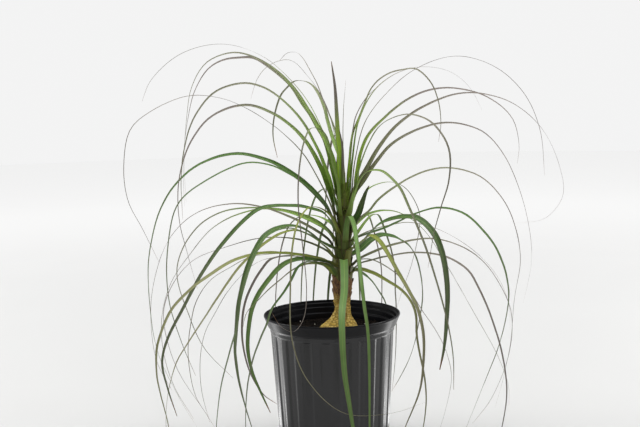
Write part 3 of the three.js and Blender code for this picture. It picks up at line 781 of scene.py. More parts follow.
def filled(profile: Sequence[Pair], spacing: float) -> list[Pair]:
    """Adds points to a profile so that none lie further apart than the spacing.

    Args:
        profile: Its corner points.
        spacing: The greatest distance between two points.

    Returns:
        The profile with the added points.
    """
    out = [profile[0]]
    for start, end in zip(profile, profile[1:]):
        count = max(1, math.ceil((Vector(end) - Vector(start)).length / spacing))
        for i in range(1, count + 1):
            out.append((blend(start[0], end[0], i / count), blend(start[1], end[1], i / count)))
    return out


# Finishes


@dataclass(frozen=True)
class PlasticFinish:
    """Black moulded plastic: satin, with a faint drag of the mould, dull patches and a little dust.

    Shine is the specular level of the wall. The rim and the inside have their own.
    """

    body: str = "0f0f12"
    dusty: str = "202024"
    drag: float = 260.0
    drag_length: float = 0.08
    patch: float = 22.0
    grain: float = 900.0
    dust: float = 0.4
    dust_top: float = 50.0
    shine: float = 0.55
    shine_rim: float = 0.2
    shine_inside: float = 0.07
    rim_foot: float = 148.0
    rim_top: float = 152.0
    smoothest: float = 0.2
    bump: float = 0.06

    def material(self) -> bpy.types.Material:
        """Builds the material.

        Returns:
            The material.
        """
        sheet = FinishSheet("moulded_plastic")
        place = sheet.place()
        x, y, z = sheet.parts(place)
        facing = sheet.dot(sheet.out("ShaderNodeNewGeometry", key="Normal"), sheet.joined(x, y, 0.0))
        outside = sheet.step(facing, -0.01, 0.01)
        below_rim = sheet.step(z, self.rim_top * MM, self.rim_foot * MM)
        worn = sheet.between(self.shine_rim, self.shine, below_rim)
        sheet.feed(sheet.shader.inputs["Specular IOR Level"], sheet.between(self.shine_inside, worn, outside))
        drawn = sheet.noise(sheet.joined(x, y, z * self.drag_length), self.drag, 4.0)
        patches = sheet.noise(place, self.patch, 4.0)
        grain = sheet.noise(place, self.grain, 2.0)
        low_dust = 1.0 - sheet.step(z, 0.0, self.dust_top * MM)
        dust = low_dust * 0.3 + sheet.step(patches, 0.5, 0.75)
        colour = sheet.mixed(dust * self.dust, tint(self.body), tint(self.dusty))
        return sheet.finish(colour, patches * 0.1 + self.smoothest, drawn * 0.6 + grain * 0.4, self.bump)


@dataclass(frozen=True)
class EarthFinish:
    """Moist peat and bark mix: nearly black, with browner grains."""

    wet: str = "0d0a08"
    dry: str = "30241a"
    grain: float = 420.0
    patch: float = 40.0
    shine: float = 0.12
    dullest: float = 0.97
    bump: float = 0.7

    def material(self) -> bpy.types.Material:
        """Builds the material.

        Returns:
            The material.
        """
        sheet = FinishSheet("potting_mix", Specular_IOR_Level=self.shine)
        place = sheet.place()
        grains = sheet.noise(place, self.grain, 5.0)
        patches = sheet.noise(place, self.patch)
        share = sheet.step(grains, 0.42, 0.7) * sheet.step(patches, 0.3, 0.75)
        colour = sheet.mixed(share, tint(self.wet), tint(self.dry))
        return sheet.finish(colour, self.dullest - share * 0.12, grains, self.bump)


@dataclass(frozen=True)
class PerliteFinish:
    """White foamed grains with grey pores."""

    white: str = "e2ded4"
    pore: str = "8c867a"
    foam: float = 1600.0
    shine: float = 0.3
    smoothest: float = 0.8
    bump: float = 0.3

    def material(self) -> bpy.types.Material:
        """Builds the material.

        Returns:
            The material.
        """
        sheet = FinishSheet("perlite", Specular_IOR_Level=self.shine)
        pores = sheet.noise(sheet.place(), self.foam)
        colour = sheet.mixed(sheet.step(pores, 0.45, 0.7), tint(self.white), tint(self.pore))
        return sheet.finish(colour, pores * 0.15 + self.smoothest, pores, self.bump)


@dataclass(frozen=True)
class BarkFinish:
    """Corky foot in ochre with brown cracks, turning to brown fibrous stem higher up.

    Change is the pair of heights between which cork turns to fibre.
    """

    ochre: str = "c4a245"
    straw: str = "ead07c"
    crack: str = "8a6d2c"
    fibre: str = "7a5a40"
    dark_fibre: str = "3a281e"
    change: Pair = (178.0, 190.0)
    plate: float = 170.0
    squat: float = 2.2
    crack_width: float = 0.16
    wobble: float = 90.0
    wobble_reach: float = 6.0
    flake: float = 330.0
    strand: float = 130.0
    strand_width: float = 6.0
    wander: float = 70.0
    wander_reach: float = 20.0
    shine: float = 0.25
    smoothest: float = 0.72
    bump: float = 0.8

    def material(self) -> bpy.types.Material:
        """Builds the material.

        Returns:
            The material.
        """
        sheet = FinishSheet("corky_bark", Specular_IOR_Level=self.shine)
        place = sheet.place()
        x, y, z = sheet.parts(place)
        wobble = sheet.scaled(sheet.jolt(place, self.wobble, 2.0), self.wobble_reach * MM)
        spot = sheet.vector("ADD", sheet.joined(x, y, z * self.squat), wobble)
        edges = sheet.out("ShaderNodeTexVoronoi", {"Vector": spot, "Scale": self.plate},
                          feature="DISTANCE_TO_EDGE")
        plates = sheet.step(edges, 0.0, self.crack_width)
        flakes = sheet.noise(place, self.flake, 5.0)
        cork = sheet.mixed(sheet.step(flakes, 0.35, 0.68), tint(self.ochre), tint(self.straw))
        cork = sheet.mixed(plates, tint(self.crack), cork)
        strands = sheet.noise(sheet.joined(x * self.strand_width, y * self.strand_width, z), self.strand, 4.0)
        fibre = sheet.ramp(strands, [(0.3, tint(self.dark_fibre)), (0.55, tint(self.fibre)),
                                     (0.8, tint(self.ochre))])
        wander = (sheet.noise(place, self.wander) - 0.5) * (self.wander_reach * MM)
        rise = sheet.step(z + wander, self.change[0] * MM, self.change[1] * MM)
        colour = sheet.mixed(rise, cork, fibre)
        height = sheet.between(plates * 0.6 + flakes * 0.5, strands, rise)
        return sheet.finish(colour, flakes * 0.2 + self.smoothest, height, self.bump)


@dataclass(frozen=True)
class LeafFinish:
    """A leathery, finely ribbed blade: its own green, olive brown at its root, bronze at margins and tip.

    It reads what the blades carry: across and share are places on the blade, side is above 0 on its
    face and below 0 on its underside, blade is its own colour, and bronze and onset are those of its look.
    """

    under: str = "7d8c5a"
    keel: str = "98ab58"
    bronze: str = "776f68"
    margin: str = "573f38"
    dry_tip: str = "75583e"
    heart: str = "5e4c1c"
    ribs: float = 46.0
    mottle: float = 75.0
    pore: float = 700.0
    turning: float = 0.42
    drift: float = 0.25
    shine: float = 0.16
    smoothest: float = 0.36
    bump: float = 0.12

    def material(self) -> bpy.types.Material:
        """Builds the material.

        Returns:
            The material.
        """
        sheet = FinishSheet("leaf_blade", Specular_IOR_Level=self.shine)
        place = sheet.place()
        across, share = sheet.value("across"), sheet.value("share")
        span = sheet.math("ABSOLUTE", across)
        rib = sheet.math("SINE", across * self.ribs) * 0.5 + 0.5
        mottle = sheet.noise(place, self.mottle, 4.0)
        pores = sheet.noise(place, self.pore)
        onset = sheet.value("onset")
        aged = sheet.step(share + (mottle - 0.5) * self.drift, onset, onset + self.turning)
        layers = (
            (sheet.step(sheet.value("side"), 0.1, -0.1) * 0.25, self.under),
            (sheet.step(span, 0.12, 0.02) * 0.35, self.keel),
            (sheet.step(share, 0.07, 0.0) * 0.55, self.heart),
            (aged * sheet.value("bronze"), self.bronze),
            (sheet.step(span, 0.78, 0.97) * 0.75, self.margin),
            (sheet.step(pores * 0.04 + share, 0.95, 1.0), self.dry_tip),
        )
        colour = sheet.scaled(sheet.carried("blade"), rib * 0.1 + (mottle * 0.4 + 0.75))
        for cover, code in layers:
            colour = sheet.mixed(cover, colour, tint(code))
        return sheet.finish(colour, pores * 0.14 + self.smoothest, pores * 0.2 + rib * 0.35, self.bump)


# Sub-assemblies


@dataclass
class Pot:
    """The tapered, fluted nursery pot with its conical rim, inner steps and drain holes.

    The flutes' phase is in flutes, and their edge is the part of the wave where a valley's flank lies.
    """

    height: float = 165.0
    rim_radius: float = 82.5
    base_radius: float = 66.0
    body_radius: float = 74.2
    rounding: float = 0.6
    spacing: float = 12.0
    flute_foot: float = 4.0
    flute_top: float = 143.5
    foot_fade: float = 3.0
    top_fade: float = 0.9
    flutes: int = 20
    flute_phase: float = 0.625
    flute_edge: Pair = (0.2, 0.8)
    flute_depth: float = 1.2
    floor: float = 2.6
    wall: float = 2.4
    drains: int = 5
    drain_radius: float = 6.0
    drain_circle: float = 46.0
    drain_sides: int = 32
    bit_length: float = 16.0
    sides: int = 480

    def profile(self) -> list[Pair]:
        """The wall's section, in metres.

        Returns:
            Radius and height pairs from the middle of the foot, over the rim, to the middle of the floor.
        """
        base, body, rim = self.base_radius, self.body_radius, self.rim_radius
        corners = [
            (0, 0), (base - 14, 0), (base - 13, 0.9), (base - 3.4, 0.9), (base - 3, 0), (base - 2, 0),
            (base, 2), (base + 0.3, 6), (body, self.flute_top), (body + 0.8, self.flute_top + 1.5),
            (body + 0.9, 149), (76.6, 150.2), (77.6, 151.5), (81.6, 161.5), (rim, 163),
            (rim - 0.3, 164.5), (rim - 1.1, self.height), (80.2, 164.6), (79.4, 161.8), (78, 161.2),
            (77.2, 156.8), (75.8, 156.2), (74.8, 150), (72.8, 149.2), (body - self.wall, self.flute_top),
            (base + 0.3 - self.wall, self.floor + 3), (base - 3 - self.wall, self.floor), (0, self.floor),
        ]
        return in_metres(filled(softened(corners, self.rounding), self.spacing))

    def flute_rule(self, material: bpy.types.Material) -> RuleSheet:
        """The tree that sinks the valleys between the flutes and drills the drain holes.

        Args:
            material: The pot's material.

        Returns:
            The tree.
        """
        rule = RuleSheet("fluted_wall", {
            "Flutes": self.flutes, "Depth": self.flute_depth * MM, "Low": self.flute_foot * MM,
            "Top": self.flute_top * MM, "Inner Foot": (self.base_radius - self.wall / 2) * MM,
            "Inner Head": (self.body_radius - self.wall / 2) * MM, "Drains": self.drains,
            "Drain Radius": self.drain_radius * MM, "Drain Circle": self.drain_circle * MM,
        })
        low, top, fade = rule.given("Low"), rule.given("Top"), self.top_fade * MM
        x, y, z = rule.parts(rule.position())
        flat = rule.joined(x, y, 0.0)
        phase = rule.math("ARCTAN2", y, x) * rule.given("Flutes") - self.flute_phase * 2 * math.pi
        valley = rule.step(rule.math("COSINE", phase) * 0.5 + 0.5, *self.flute_edge)
        middle = rule.between(rule.given("Inner Foot"), rule.given("Inner Head"), z / top)
        outer = rule.math("GREATER_THAN", rule.length(flat), middle)
        ends = rule.step(z, low, low + self.foot_fade * MM) * rule.step(z, top + fade, top - fade)
        sink = valley * outer * ends * rule.given("Depth") * -1.0
        walled = rule.moved(rule.given(), offset=rule.scaled(rule.vector("NORMALIZE", flat), sink))
        ring = rule.out("GeometryNodeMeshCircle", {
            "Vertices": rule.given("Drains"), "Radius": rule.given("Drain Circle")})
        bit = rule.out("GeometryNodeMeshCylinder", {
            "Vertices": self.drain_sides, "Radius": rule.given("Drain Radius"),
            "Depth": self.bit_length * MM})
        bits = rule.out("GeometryNodeInstanceOnPoints", {"Points": ring, "Instance": bit})
        bits = rule.out("GeometryNodeTransform", {
            "Geometry": bits, "Rotation": (0, 0, math.pi / self.drains)})
        drilled = rule.out("GeometryNodeMeshBoolean", {0: walled, 1: rule.real(bits)},
                           operation="DIFFERENCE", solver="EXACT")
        rule.close(drilled, material)
        return rule

    def build(self) -> None:
        """Makes the pot."""
        piece = new_piece("nursery_pot", turned("nursery_pot", self.profile(), self.sides))
        self.flute_rule(PlasticFinish().material()).apply(piece)
        settle(piece)
        hand_over(piece, Slot.POT, "pot")


@dataclass(frozen=True)
class Grains:
    """A kind of grain on the bed: its piece, least spacing, greatest density a square metre and radii.

    Facets is how often a grain is subdivided, squash its height as a share of its width, and pale
    tells white grains from dark ones.
    """

    name: str
    spacing: float
    density: float
    radii: Pair
    facets: int
    squash: float
    pale: bool = False


@dataclass
class Soil:
    """The potting mix: an uneven bed with crumbs, bark chips and white perlite on it.

    Grains lie on the bed's skin, clear of the bulb, and short of the wall by the gap.
    """

    level: float = 143.0
    crown: float = 1.5
    roughness: float = 0.9
    lump: float = 90.0
    crumb: float = 420.0
    crumb_share: float = 0.6
    calm: float = 8.0
    floor: float = 2.9
    corner: float = 7.6
    wall_foot: float = 63.9
    wall_head: float = 71.8
    spacing: float = 40.0
    rings: int = 46
    sides: int = 192
    bulb_x: float = 6.5
    bulb_radius: float = 26.0
    gap: float = 2.5
    skin: float = 1.5
    spin: float = 6.28
    slimmest: float = 0.55
    rarity: float = 2.5
    jag: float = 900.0
    jag_depth: float = 0.8
    seed: int = 7
    width_seed: int = 3
    form_seed: int = 5
    kinds: tuple[Grains, ...] = (
        Grains("soil_crumbs", 1.3, 900000.0, (0.5, 1.7), 1, 0.8),
        Grains("bark_chips", 7.0, 9000.0, (1.6, 4.2), 2, 0.3),
        Grains("perlite", 9.0, 5000.0, (0.7, 1.7), 2, 0.85, pale=True),
    )

    def surface(self, point: Vector) -> Vector:
        """Moves a point of the bed's top up or down.

        Args:
            point: The point, in metres.

        Returns:
            Its new place; points of the sides and the floor stay.
        """
        radius = math.hypot(point.x, point.y) / MM
        if point.z < (self.level - 1) * MM or radius > self.wall_head - 1:
            return point
        uneven = noise.noise(point * self.lump) + noise.noise(point * self.crumb) * self.crumb_share
        edge = soft_step(self.wall_head, self.wall_head - self.calm, radius)
        return point + Vector((0, 0, uneven * self.roughness * edge * MM))

    def bed(self, material: bpy.types.Material) -> bpy.types.Object:
        """Makes the body of the mix, from the floor to its top.

        Args:
            material: The mix's material.

        Returns:
            The piece.
        """
        top = self.wall_head - 2
        corners = [(0, self.floor), (self.wall_foot - 4, self.floor), (self.wall_foot - 0.4, self.corner),
                   (self.wall_head - 0.5, self.level - 0.8), (top, self.level)]
        profile = filled(corners, self.spacing)
        for i in range(1, self.rings + 1):
            share = i / self.rings
            profile.append((top * (1 - share), self.level + self.crown * share))
        piece = new_piece("soil_bed", turned("soil_bed", in_metres(profile), self.sides, self.surface))
        piece.data.materials.append(material)
        settle(piece)
        return piece

    def grain_rule(self, grains: Grains, material: bpy.types.Material) -> RuleSheet:
        """The tree that strews grains over the bed, clear of the bulb and the wall.

        Args:
            grains: The kind of grain.
            material: The grains' material.

        Returns:
            The tree.
        """
        rule = RuleSheet(grains.name, {
            "Spacing": grains.spacing * MM, "Density": grains.density, "Smallest": grains.radii[0] * MM,
            "Largest": grains.radii[1] * MM, "Seed": self.seed})
        seed, largest = rule.given("Seed"), rule.given("Largest")
        x, y, z = rule.parts(rule.position())
        from_bulb = rule.length(rule.joined(x - self.bulb_x * MM, y, 0.0))
        away = rule.math("GREATER_THAN", from_bulb, self.bulb_radius * MM)
        from_middle = rule.length(rule.joined(x, y, 0.0))
        within = rule.math("LESS_THAN", from_middle, (self.wall_head - self.gap) * MM)
        on_top = rule.math("GREATER_THAN", z, (self.level - self.skin) * MM)
        spots = rule.out("GeometryNodeDistributePointsOnFaces", {
            "Mesh": rule.given(), "Selection": away * within * on_top, "Distance Min": rule.given("Spacing"),
            "Density Max": rule.given("Density"), "Seed": seed}, distribute_method="POISSON")
        grain = rule.out("GeometryNodeMeshIcoSphere", {"Radius": 1.0, "Subdivisions": grains.facets})
        turn = rule.out("FunctionNodeRandomValue", {1: (self.spin, self.spin, self.spin), "Seed": seed},
                        data_type="FLOAT_VECTOR")
        swing = rule.out("FunctionNodeEulerToRotation", {0: turn})
        draw = rule.random(0.0, 1.0, self.width_seed) ** self.rarity
        width = rule.between(rule.given("Smallest"), largest, draw)
        scale = rule.joined(width, width * rule.random(self.slimmest, 1.0, self.form_seed),
                            width * grains.squash)
        strewn = rule.out("GeometryNodeInstanceOnPoints", {
            "Points": spots, "Instance": grain, "Rotation": swing, "Scale": scale})
        jag = rule.scaled(rule.jolt(None, self.jag, 1.0), largest * self.jag_depth)
        rule.close(rule.moved(rule.real(strewn), offset=jag), material)
        return rule

    def build(self) -> None:
        """Makes the bed and what lies on it."""
        earth, pale = EarthFinish().material(), PerliteFinish().material()
        bed = self.bed(earth)
        for grains in self.kinds:
            piece = new_piece(grains.name, bed.data.copy())
            self.grain_rule(grains, pale if grains.pale else earth).apply(piece)
            settle(piece)
            hand_over(piece, Slot.SOIL)
        hand_over(bed, Slot.SOIL, "soil")


@dataclass
class ScaleRule:
    """The tree that wraps leaf bases round the stem: broad at the foot and narrow where the blade leaves."""

    name: str
    columns: int = 15
    rows: int = 9
    thickness: float = 0.45
    narrowing: float = 1.6
    snugness: float = 0.97
    flare_curve: float = 1.4
    sag: float = 0.12

    def rule(self, material: bpy.types.Material) -> RuleSheet:
        """Builds the tree. Its points carry turn, foot, rise, girth, half, span and flare.

        Args:
            material: The scales' material.

        Returns:
            The tree.
        """
        rule = RuleSheet(self.name, {
            "Columns": self.columns, "Rows": self.rows, "Narrowing": self.narrowing})
        spots = rule.out("GeometryNodeMeshToPoints", {"Mesh": rule.given()})
        grid = rule.out("GeometryNodeMeshGrid", {
            "Size X": 2.0, "Size Y": 1.0, "Vertices X": rule.given("Columns"),
            "Vertices Y": rule.given("Rows")})
        x, y, _ = rule.parts(rule.position())
        grid = rule.stored(rule.stored(grid, "across", x), "along", y + 0.5)
        scales = rule.real(rule.out("GeometryNodeInstanceOnPoints", {"Points": spots, "Instance": grid}))
        across, along, girth = rule.named("across"), rule.named("along"), rule.named("girth")
        reach = rule.between(rule.named("half") / girth, rule.named("span"),
                             (1.0 - along) ** rule.given("Narrowing"))
        angle = rule.named("turn") + across * reach
        radius = girth * self.snugness + rule.named("flare") * along ** self.flare_curve
        sunk = across * across * (along * -self.sag)
        height = (along + sunk) * rule.named("rise") + rule.named("foot")
        middle = (height - STEM.soil * MM) * STEM.lean + STEM.soil_x * MM
        spot = rule.joined(radius * rule.math("COSINE", angle) + middle,
                           radius * rule.math("SINE", angle), height)
        rule.close(rule.moved(scales, position=spot), material)
        return rule

    def build(self, piece: bpy.types.Object, material: bpy.types.Material) -> None:
        """Makes the scales on an object of points and gives them their thickness.

        Args:
            piece: The object.
            material: The scales' material.
        """
        self.rule(material).apply(piece)
        wall = piece.modifiers.new("thickness", "SOLIDIFY")
        wall.thickness = self.thickness * MM
        wall.offset = 0.0
        settle(piece)


@dataclass
class Trunk:
    """The swollen corky foot, the bare stem and the dry bases of fallen leaves.

    A fade is the pair of heights where a feature starts and is full. Spans are in radians, and the
    depth of furrows and grooves is a share of the radius. Points nearer the axis than pole lie on it.
    The seed sets both the draws of the dry bases and the wobble of the corky plates.
    """

    bottom: float = 120.0
    top: float = 205.7
    sides: int = 220
    spacing: float = 0.55
    rounding: float = 2.2
    bends: tuple[Pair, ...] = ((140.0, 6.5), (154.0, 10.5), (172.0, 13.4))
    ease: float = 0.3
    pole: float = 2.0
    furrows: int = 5
    furrow_depth: float = 0.03
    furrow_twist: float = 0.2
    grooves: int = 9
    groove_depth: float = 0.02
    furrow_fade: Pair = (142.0, 150.0)
    cork_fade: Pair = (172.0, 160.0)
    plate: float = 170.0
    plate_squat: float = 2.0
    plate_wobble: float = 0.7
    wobble: float = 120.0
    crack_width: float = 0.22
    crack_depth: float = 0.4
    pit: float = 260.0
    pit_depth: Pair = (0.22, 0.4)
    proudest: float = 0.7
    dry_bases: int = 26
    dry_heights: Pair = (172.0, 203.0)
    dry_top: float = 204.0
    dry_lift: float = 3.0
    dry_gap: float = 0.1
    dry_sway: float = 0.2
    dry_rise: Pair = (7.0, 12.0)
    dry_half: Pair = (1.2, 3.2)
    dry_span: Pair = (0.8, 1.3)
    dry_flare: Pair = (1.2, 2.6)
    seed: int = 11

    def profile(self) -> list[Pair]:
        """The trunk's section, in millimetres.

        Returns:
            Radius and height pairs, from its bottom to its top.
        """
        corners = [(0, self.bottom), (20, self.bottom), (25.5, 124), (27.5, 132), (27, 140), (25, 145),
                   (21, 150), (15.5, 155.5), (11.8, 161), (9.7, 168), (8.7, 176), (8.9, 183), (10.2, 185),
                   (10.4, 190), (11.0, 192), (11.1, 197), (11.6, 199), (11.6, self.top), (0, self.top)]
        return filled(softened(corners, self.rounding, 4), self.spacing)

    def middle(self, height: float) -> float:
        """X of the trunk's middle line: upright in the bulb, and bent over to the stem above it.

        Args:
            height: Height on the trunk.

        Returns:
            X at that height.
        """
        stops = (*self.bends, (STEM.foot, STEM.x(STEM.foot)))
        if height < stops[0][0]:
            return stops[0][1]
        for (low, start), (high, end) in zip(stops, stops[1:]):
            if height <= high:
                share = (height - low) / (high - low)
                return blend(start, end, blend(share, soft_step(0, 1, share), self.ease))
        return STEM.x(height)

    def girth(self, height: float) -> float:
        """Radius of the trunk at a height."""
        pairs = [pair for pair in self.profile() if pair[0] > 5]
        return min(pairs, key=lambda pair: abs(pair[1] - height))[0]

    def weather(self, point: Vector) -> Vector:
        """Moves a point of the smooth trunk to give furrows, corky plates and pits.

        Args:
            point: The point, in metres, on an upright trunk.

        Returns:
            Its place on the bent, weathered trunk.
        """
        height, radius = point.z / MM, math.hypot(point.x, point.y) / MM
        if radius < self.pole:
            return Vector((self.middle(height) * MM, 0, point.z))
        turn = math.atan2(point.y, point.x)
        furrow = (self.furrow_depth * math.sin(self.furrows * turn + self.furrow_twist * height)
                  - self.groove_depth * math.cos(self.grooves * turn))
        furrow *= soft_step(*self.furrow_fade, height) * radius
        spot = Vector((point.x, point.y, point.z * self.plate_squat)) * self.plate
        spot += noise.noise_vector(point * self.wobble) * self.plate_wobble
        near, second = noise.voronoi(spot)[0][:2]
        cork = soft_step(*self.cork_fade, height)
        crack = soft_step(self.crack_width, 0.0, second - near) * cork * self.crack_depth
        pits = noise.fractal(point * self.pit, 1.0, 2.0, 4) * blend(*self.pit_depth, cork)
        step = min(furrow - crack + pits, self.proudest)
        outward = Vector((point.x, point.y, 0)).normalized()
        return point + outward * step * MM + Vector((self.middle(height) * MM, 0, 0))

    def dry_points(self) -> list[dict[str, float]]:
        """What each dry base's point carries, in a spiral up the stem.

        Returns:
            One row for each base.
        """
        draw = random.Random(self.seed)
        rows = []
        for i in range(self.dry_bases):
            low = blend(*self.dry_heights, i / (self.dry_bases - 1))
            rows.append({
                "turn": math.radians(GOLDEN_TURN * i) + draw.uniform(-self.dry_sway, self.dry_sway),
                "foot": low * MM,
                "rise": draw.uniform(*self.dry_rise) * MM,
                "girth": (self.girth(min(low + self.dry_lift, self.dry_top)) + self.dry_gap) * MM,
                "half": draw.uniform(*self.dry_half) * MM,
                "span": draw.uniform(*self.dry_span),
                "flare": draw.uniform(*self.dry_flare) * MM,
            })
        return rows

    def build(self) -> None:
        """Makes the trunk and its dry leaf bases."""
        bark = BarkFinish().material()
        noise.seed_set(self.seed)
        mesh = turned("palm_trunk", in_metres(self.profile()), self.sides, self.weather)
        mesh.materials.append(bark)
        piece = new_piece("palm_trunk", mesh)
        settle(piece)
        hand_over(piece, Slot.BARK, "trunk")
        rows = self.dry_points()
        points = [Vector((0, 0, row["foot"])) for row in rows]
        dry = new_piece("dry_leaf_bases", point_mesh("dry_leaf_bases", points, rows))
        ScaleRule("dry_bases", thickness=0.6, narrowing=0.8).build(dry, bark)
        hand_over(dry, Slot.BARK)


@dataclass
class Crown:
    """The leafy stem: twelve tiers of channelled blades, and the bases that clasp the stem.

    A blade's places are shares of its length, from 0 at its root to 1 at its tip. Root and collar are
    the first two points of its line: in the young leaves at the heart they lie deeper in the stem.
    """

    rings: int = 72
    ring_growth: float = 1.2
    line_steps: int = 40
    section: int = 22
    channel: float = 0.34
    keel_softness: float = 0.02
    thickness: float = 0.17
    ripple: float = 0.96
    ripple_scale: float = 38.0
    ripple_start: Pair = (0.04, 0.2)
    root_reach: float = 3.2
    root_rise: float = 0.25
    root_depth: float = 34.0
    collar_reach: float = 3.0
    collar_rise: float = 0.65
    collar_depth: float = 20.0
    collar_tuck: float = 0.35
    heart: Pair = (284.0, 322.0)
    core_shoulder: float = 272.0
    core_top: float = 336.0
    core_rings: int = 36
    core_sides: int = 40
    core_inset: float = 0.3
    core_share: float = 0.02
    tilt_length: float = 0.12
    narrowing: float = 0.16
    tapering: float = 0.5
    bluntness: float = 0.01
    swelling: float = 0.2
    swelling_length: float = 0.04
    clasp_top: float = 288.0
    clasp_over: float = 1.5
    clasp_drop: Pair = (7.0, 12.0)
    clasp_span: Pair = (0.65, 0.95)
    clasp_share: float = 0.03
    clasp_slimness: float = 0.9
    clasp_inset: float = 0.6
    clasp_bronze: float = 0.4
    ages: Pair = (0.9, 1.2)
    colour_spread: Pair = (0.88, 1.12)
    bronze_spread: Pair = (0.8, 1.2)
    # Share of a blade's colour that its clasping base takes: painted shade under the blades
    painted_base_shade: float = 0.7
    seed: int = 23

    def smooth_line(self, knots: Sequence[Vector]) -> list[Vector]:
        """A fine line through the knots: a centripetal curve, as the solids' leaves follow.

        Args:
            knots: The points to pass.

        Returns:
            Points a short step apart along the curve.
        """
        points = [2 * knots[0] - knots[1], *knots, 2 * knots[-1] - knots[-2]]
        line = [knots[0].copy()]
        for a, b, c, d in zip(points, points[1:], points[2:], points[3:]):
            before, here, after = ((q - p).length ** 0.5 for p, q in ((a, b), (b, c), (c, d)))
            start = ((b - a) / before - (c - a) / (before + here) + (c - b) / here) * here
            end = ((c - b) / here - (d - b) / (here + after) + (d - c) / after) * here
            for i in range(1, self.line_steps + 1):
                t = i / self.line_steps
                line.append(b * (2 * t ** 3 - 3 * t ** 2 + 1) + start * (t ** 3 - 2 * t ** 2 + t)
                            + c * (3 * t ** 2 - 2 * t ** 3) + end * (t ** 3 - t ** 2))
        return line

    def half_width(self, leaf: Leaf, share: float) -> float:
        """Half the width of a blade: broad at its base, then narrow, and tapering to its tip.

        Args:
            leaf: The leaf.
            share: Share of its length.

        Returns:
            Half the width there.
        """
        base = (1 - leaf.outer) * math.exp(-share / self.narrowing)
        blade = leaf.outer * max(1 - share, self.bluntness) ** self.tapering
        clasp = 1 + self.swelling * math.exp(-share / self.swelling_length)
        return leaf.width / 2 * (base + blade) * clasp

    def roll(self, leaf: Leaf, share: float) -> float:
        """Roll of a blade about its own length, in radians: tilt near the root, twist towards the tip."""
        tilted = leaf.tilt * soft_step(0.0, self.tilt_length, share)
        return math.radians(tilted + leaf.twist * share * share)

    def knots(self, leaf: Leaf, tier: Tier, outward: Vector, sideways: Vector) -> list[Vector]:
        """The points that a leaf's line passes, from inside the stem to its tip.

        Args:
            leaf: The leaf.
            tier: The tier it grows from.
            outward: The level direction that it grows towards.
            sideways: The level direction across it.

        Returns:
            The points.
        """
        rise, heart = tier.high - tier.low, soft_step(*self.heart, tier.low)
        root = (self.root_reach * (1 - heart), tier.low + rise * self.root_rise - self.root_depth * heart)
        collar = ((STEM.radius(tier.low) + self.collar_reach) * (1 - self.collar_tuck * heart),
                  tier.low + rise * self.collar_rise - self.collar_depth * heart)
        out = []
        for reach, height, *side in (root, collar, *leaf.route):
            step = side[0] if side else 0.0
            out.append(Vector((STEM.x(height), 0, height)) + outward * reach + sideways * step)
        return out

    def course(self, leaf: Leaf, tier: Tier) -> list[tuple[float, Vector, Vector]]:
        """The rings along a leaf, closer together near its root.

        Args:
            leaf: The leaf.
            tier: The tier it grows from.

        Returns:
            For each ring its share of the length, its place and its crosswise direction.
        """
        turn = math.radians(leaf.turn)
        outward = Vector((math.cos(turn), math.sin(turn), 0))
        across = Vector((-math.sin(turn), math.cos(turn), 0))
        line = self.smooth_line(self.knots(leaf, tier, outward, across))
        walked = [0.0]
        for start, end in zip(line, line[1:]):
            walked.append(walked[-1] + (end - start).length)
        out, k = [], 1
        for i in range(self.rings + 1):
            share = (i / self.rings) ** self.ring_growth
            goal = share * walked[-1]
            while k < len(line) - 1 and walked[k] < goal:
                k += 1
            gone = min(1.0, (goal - walked[k - 1]) / (walked[k] - walked[k - 1]))
            along = (line[k] - line[k - 1]).normalized()
            across = (across - along * across.dot(along)).normalized()
            cross = Matrix.Rotation(self.roll(leaf, share), 3, along) @ across
            out.append((share, line[k - 1].lerp(line[k], gone), cross))
        return out

    def blade_rule(self, material: bpy.types.Material) -> RuleSheet:
        """The tree that carries a channelled section along every leaf's line.

        Args:
            material: The blades' material.

        Returns:
            The tree.
        """
        rule = RuleSheet("channelled_blades", {
            "Section Points": self.section, "Channel": self.channel, "Thickness": self.thickness,
            "Ripple": self.ripple, "Keel Softness": self.keel_softness,
        })
        ring = rule.out("GeometryNodeCurvePrimitiveCircle", {
            "Resolution": rule.given("Section Points"), "Radius": 1.0})
        x, y, _ = rule.parts(rule.position())
        ring = rule.stored(rule.stored(ring, "across", x), "side", y)
        bend = rule.math("SQRT", x * x + rule.given("Keel Softness")) * rule.given("Channel")
        section = rule.moved(ring, position=rule.joined(x, y * (rule.given("Thickness") * 0.5) + bend, 0.0))
        dots = rule.out("GeometryNodeMeshToPoints", {"Mesh": rule.given()})
        across, share, half = rule.named("across"), rule.named("share"), rule.named("half")
        lines = rule.out("GeometryNodePointsToCurves", {
            "Points": dots, "Curve Group ID": rule.named("leaf", "INT"), "Weight": share})
        lines = rule.out("GeometryNodeSetCurveNormal", {
            "Curve": lines, "Normal": rule.named("crosswise", "FLOAT_VECTOR")}, mode="FREE")
        blades = rule.out("GeometryNodeCurveToMesh", {
            "Curve": lines, "Profile Curve": section, "Scale": half, "Fill Caps": True})
        wave = rule.noise(rule.position(), self.ripple_scale, 1.0) - 0.5
        swing = wave * (rule.math("ABSOLUTE", across) * half) * rule.given("Ripple")
        swing = swing * rule.step(share, *self.ripple_start)
        blades = rule.moved(blades, offset=rule.scaled(rule.named("facing", "FLOAT_VECTOR"), swing))
        spread = rule.joined(across * 0.5 + 0.5, share, 0.0)
        rule.close(rule.stored(blades, "UVMap", spread, "FLOAT2", "CORNER"), material)
        return rule

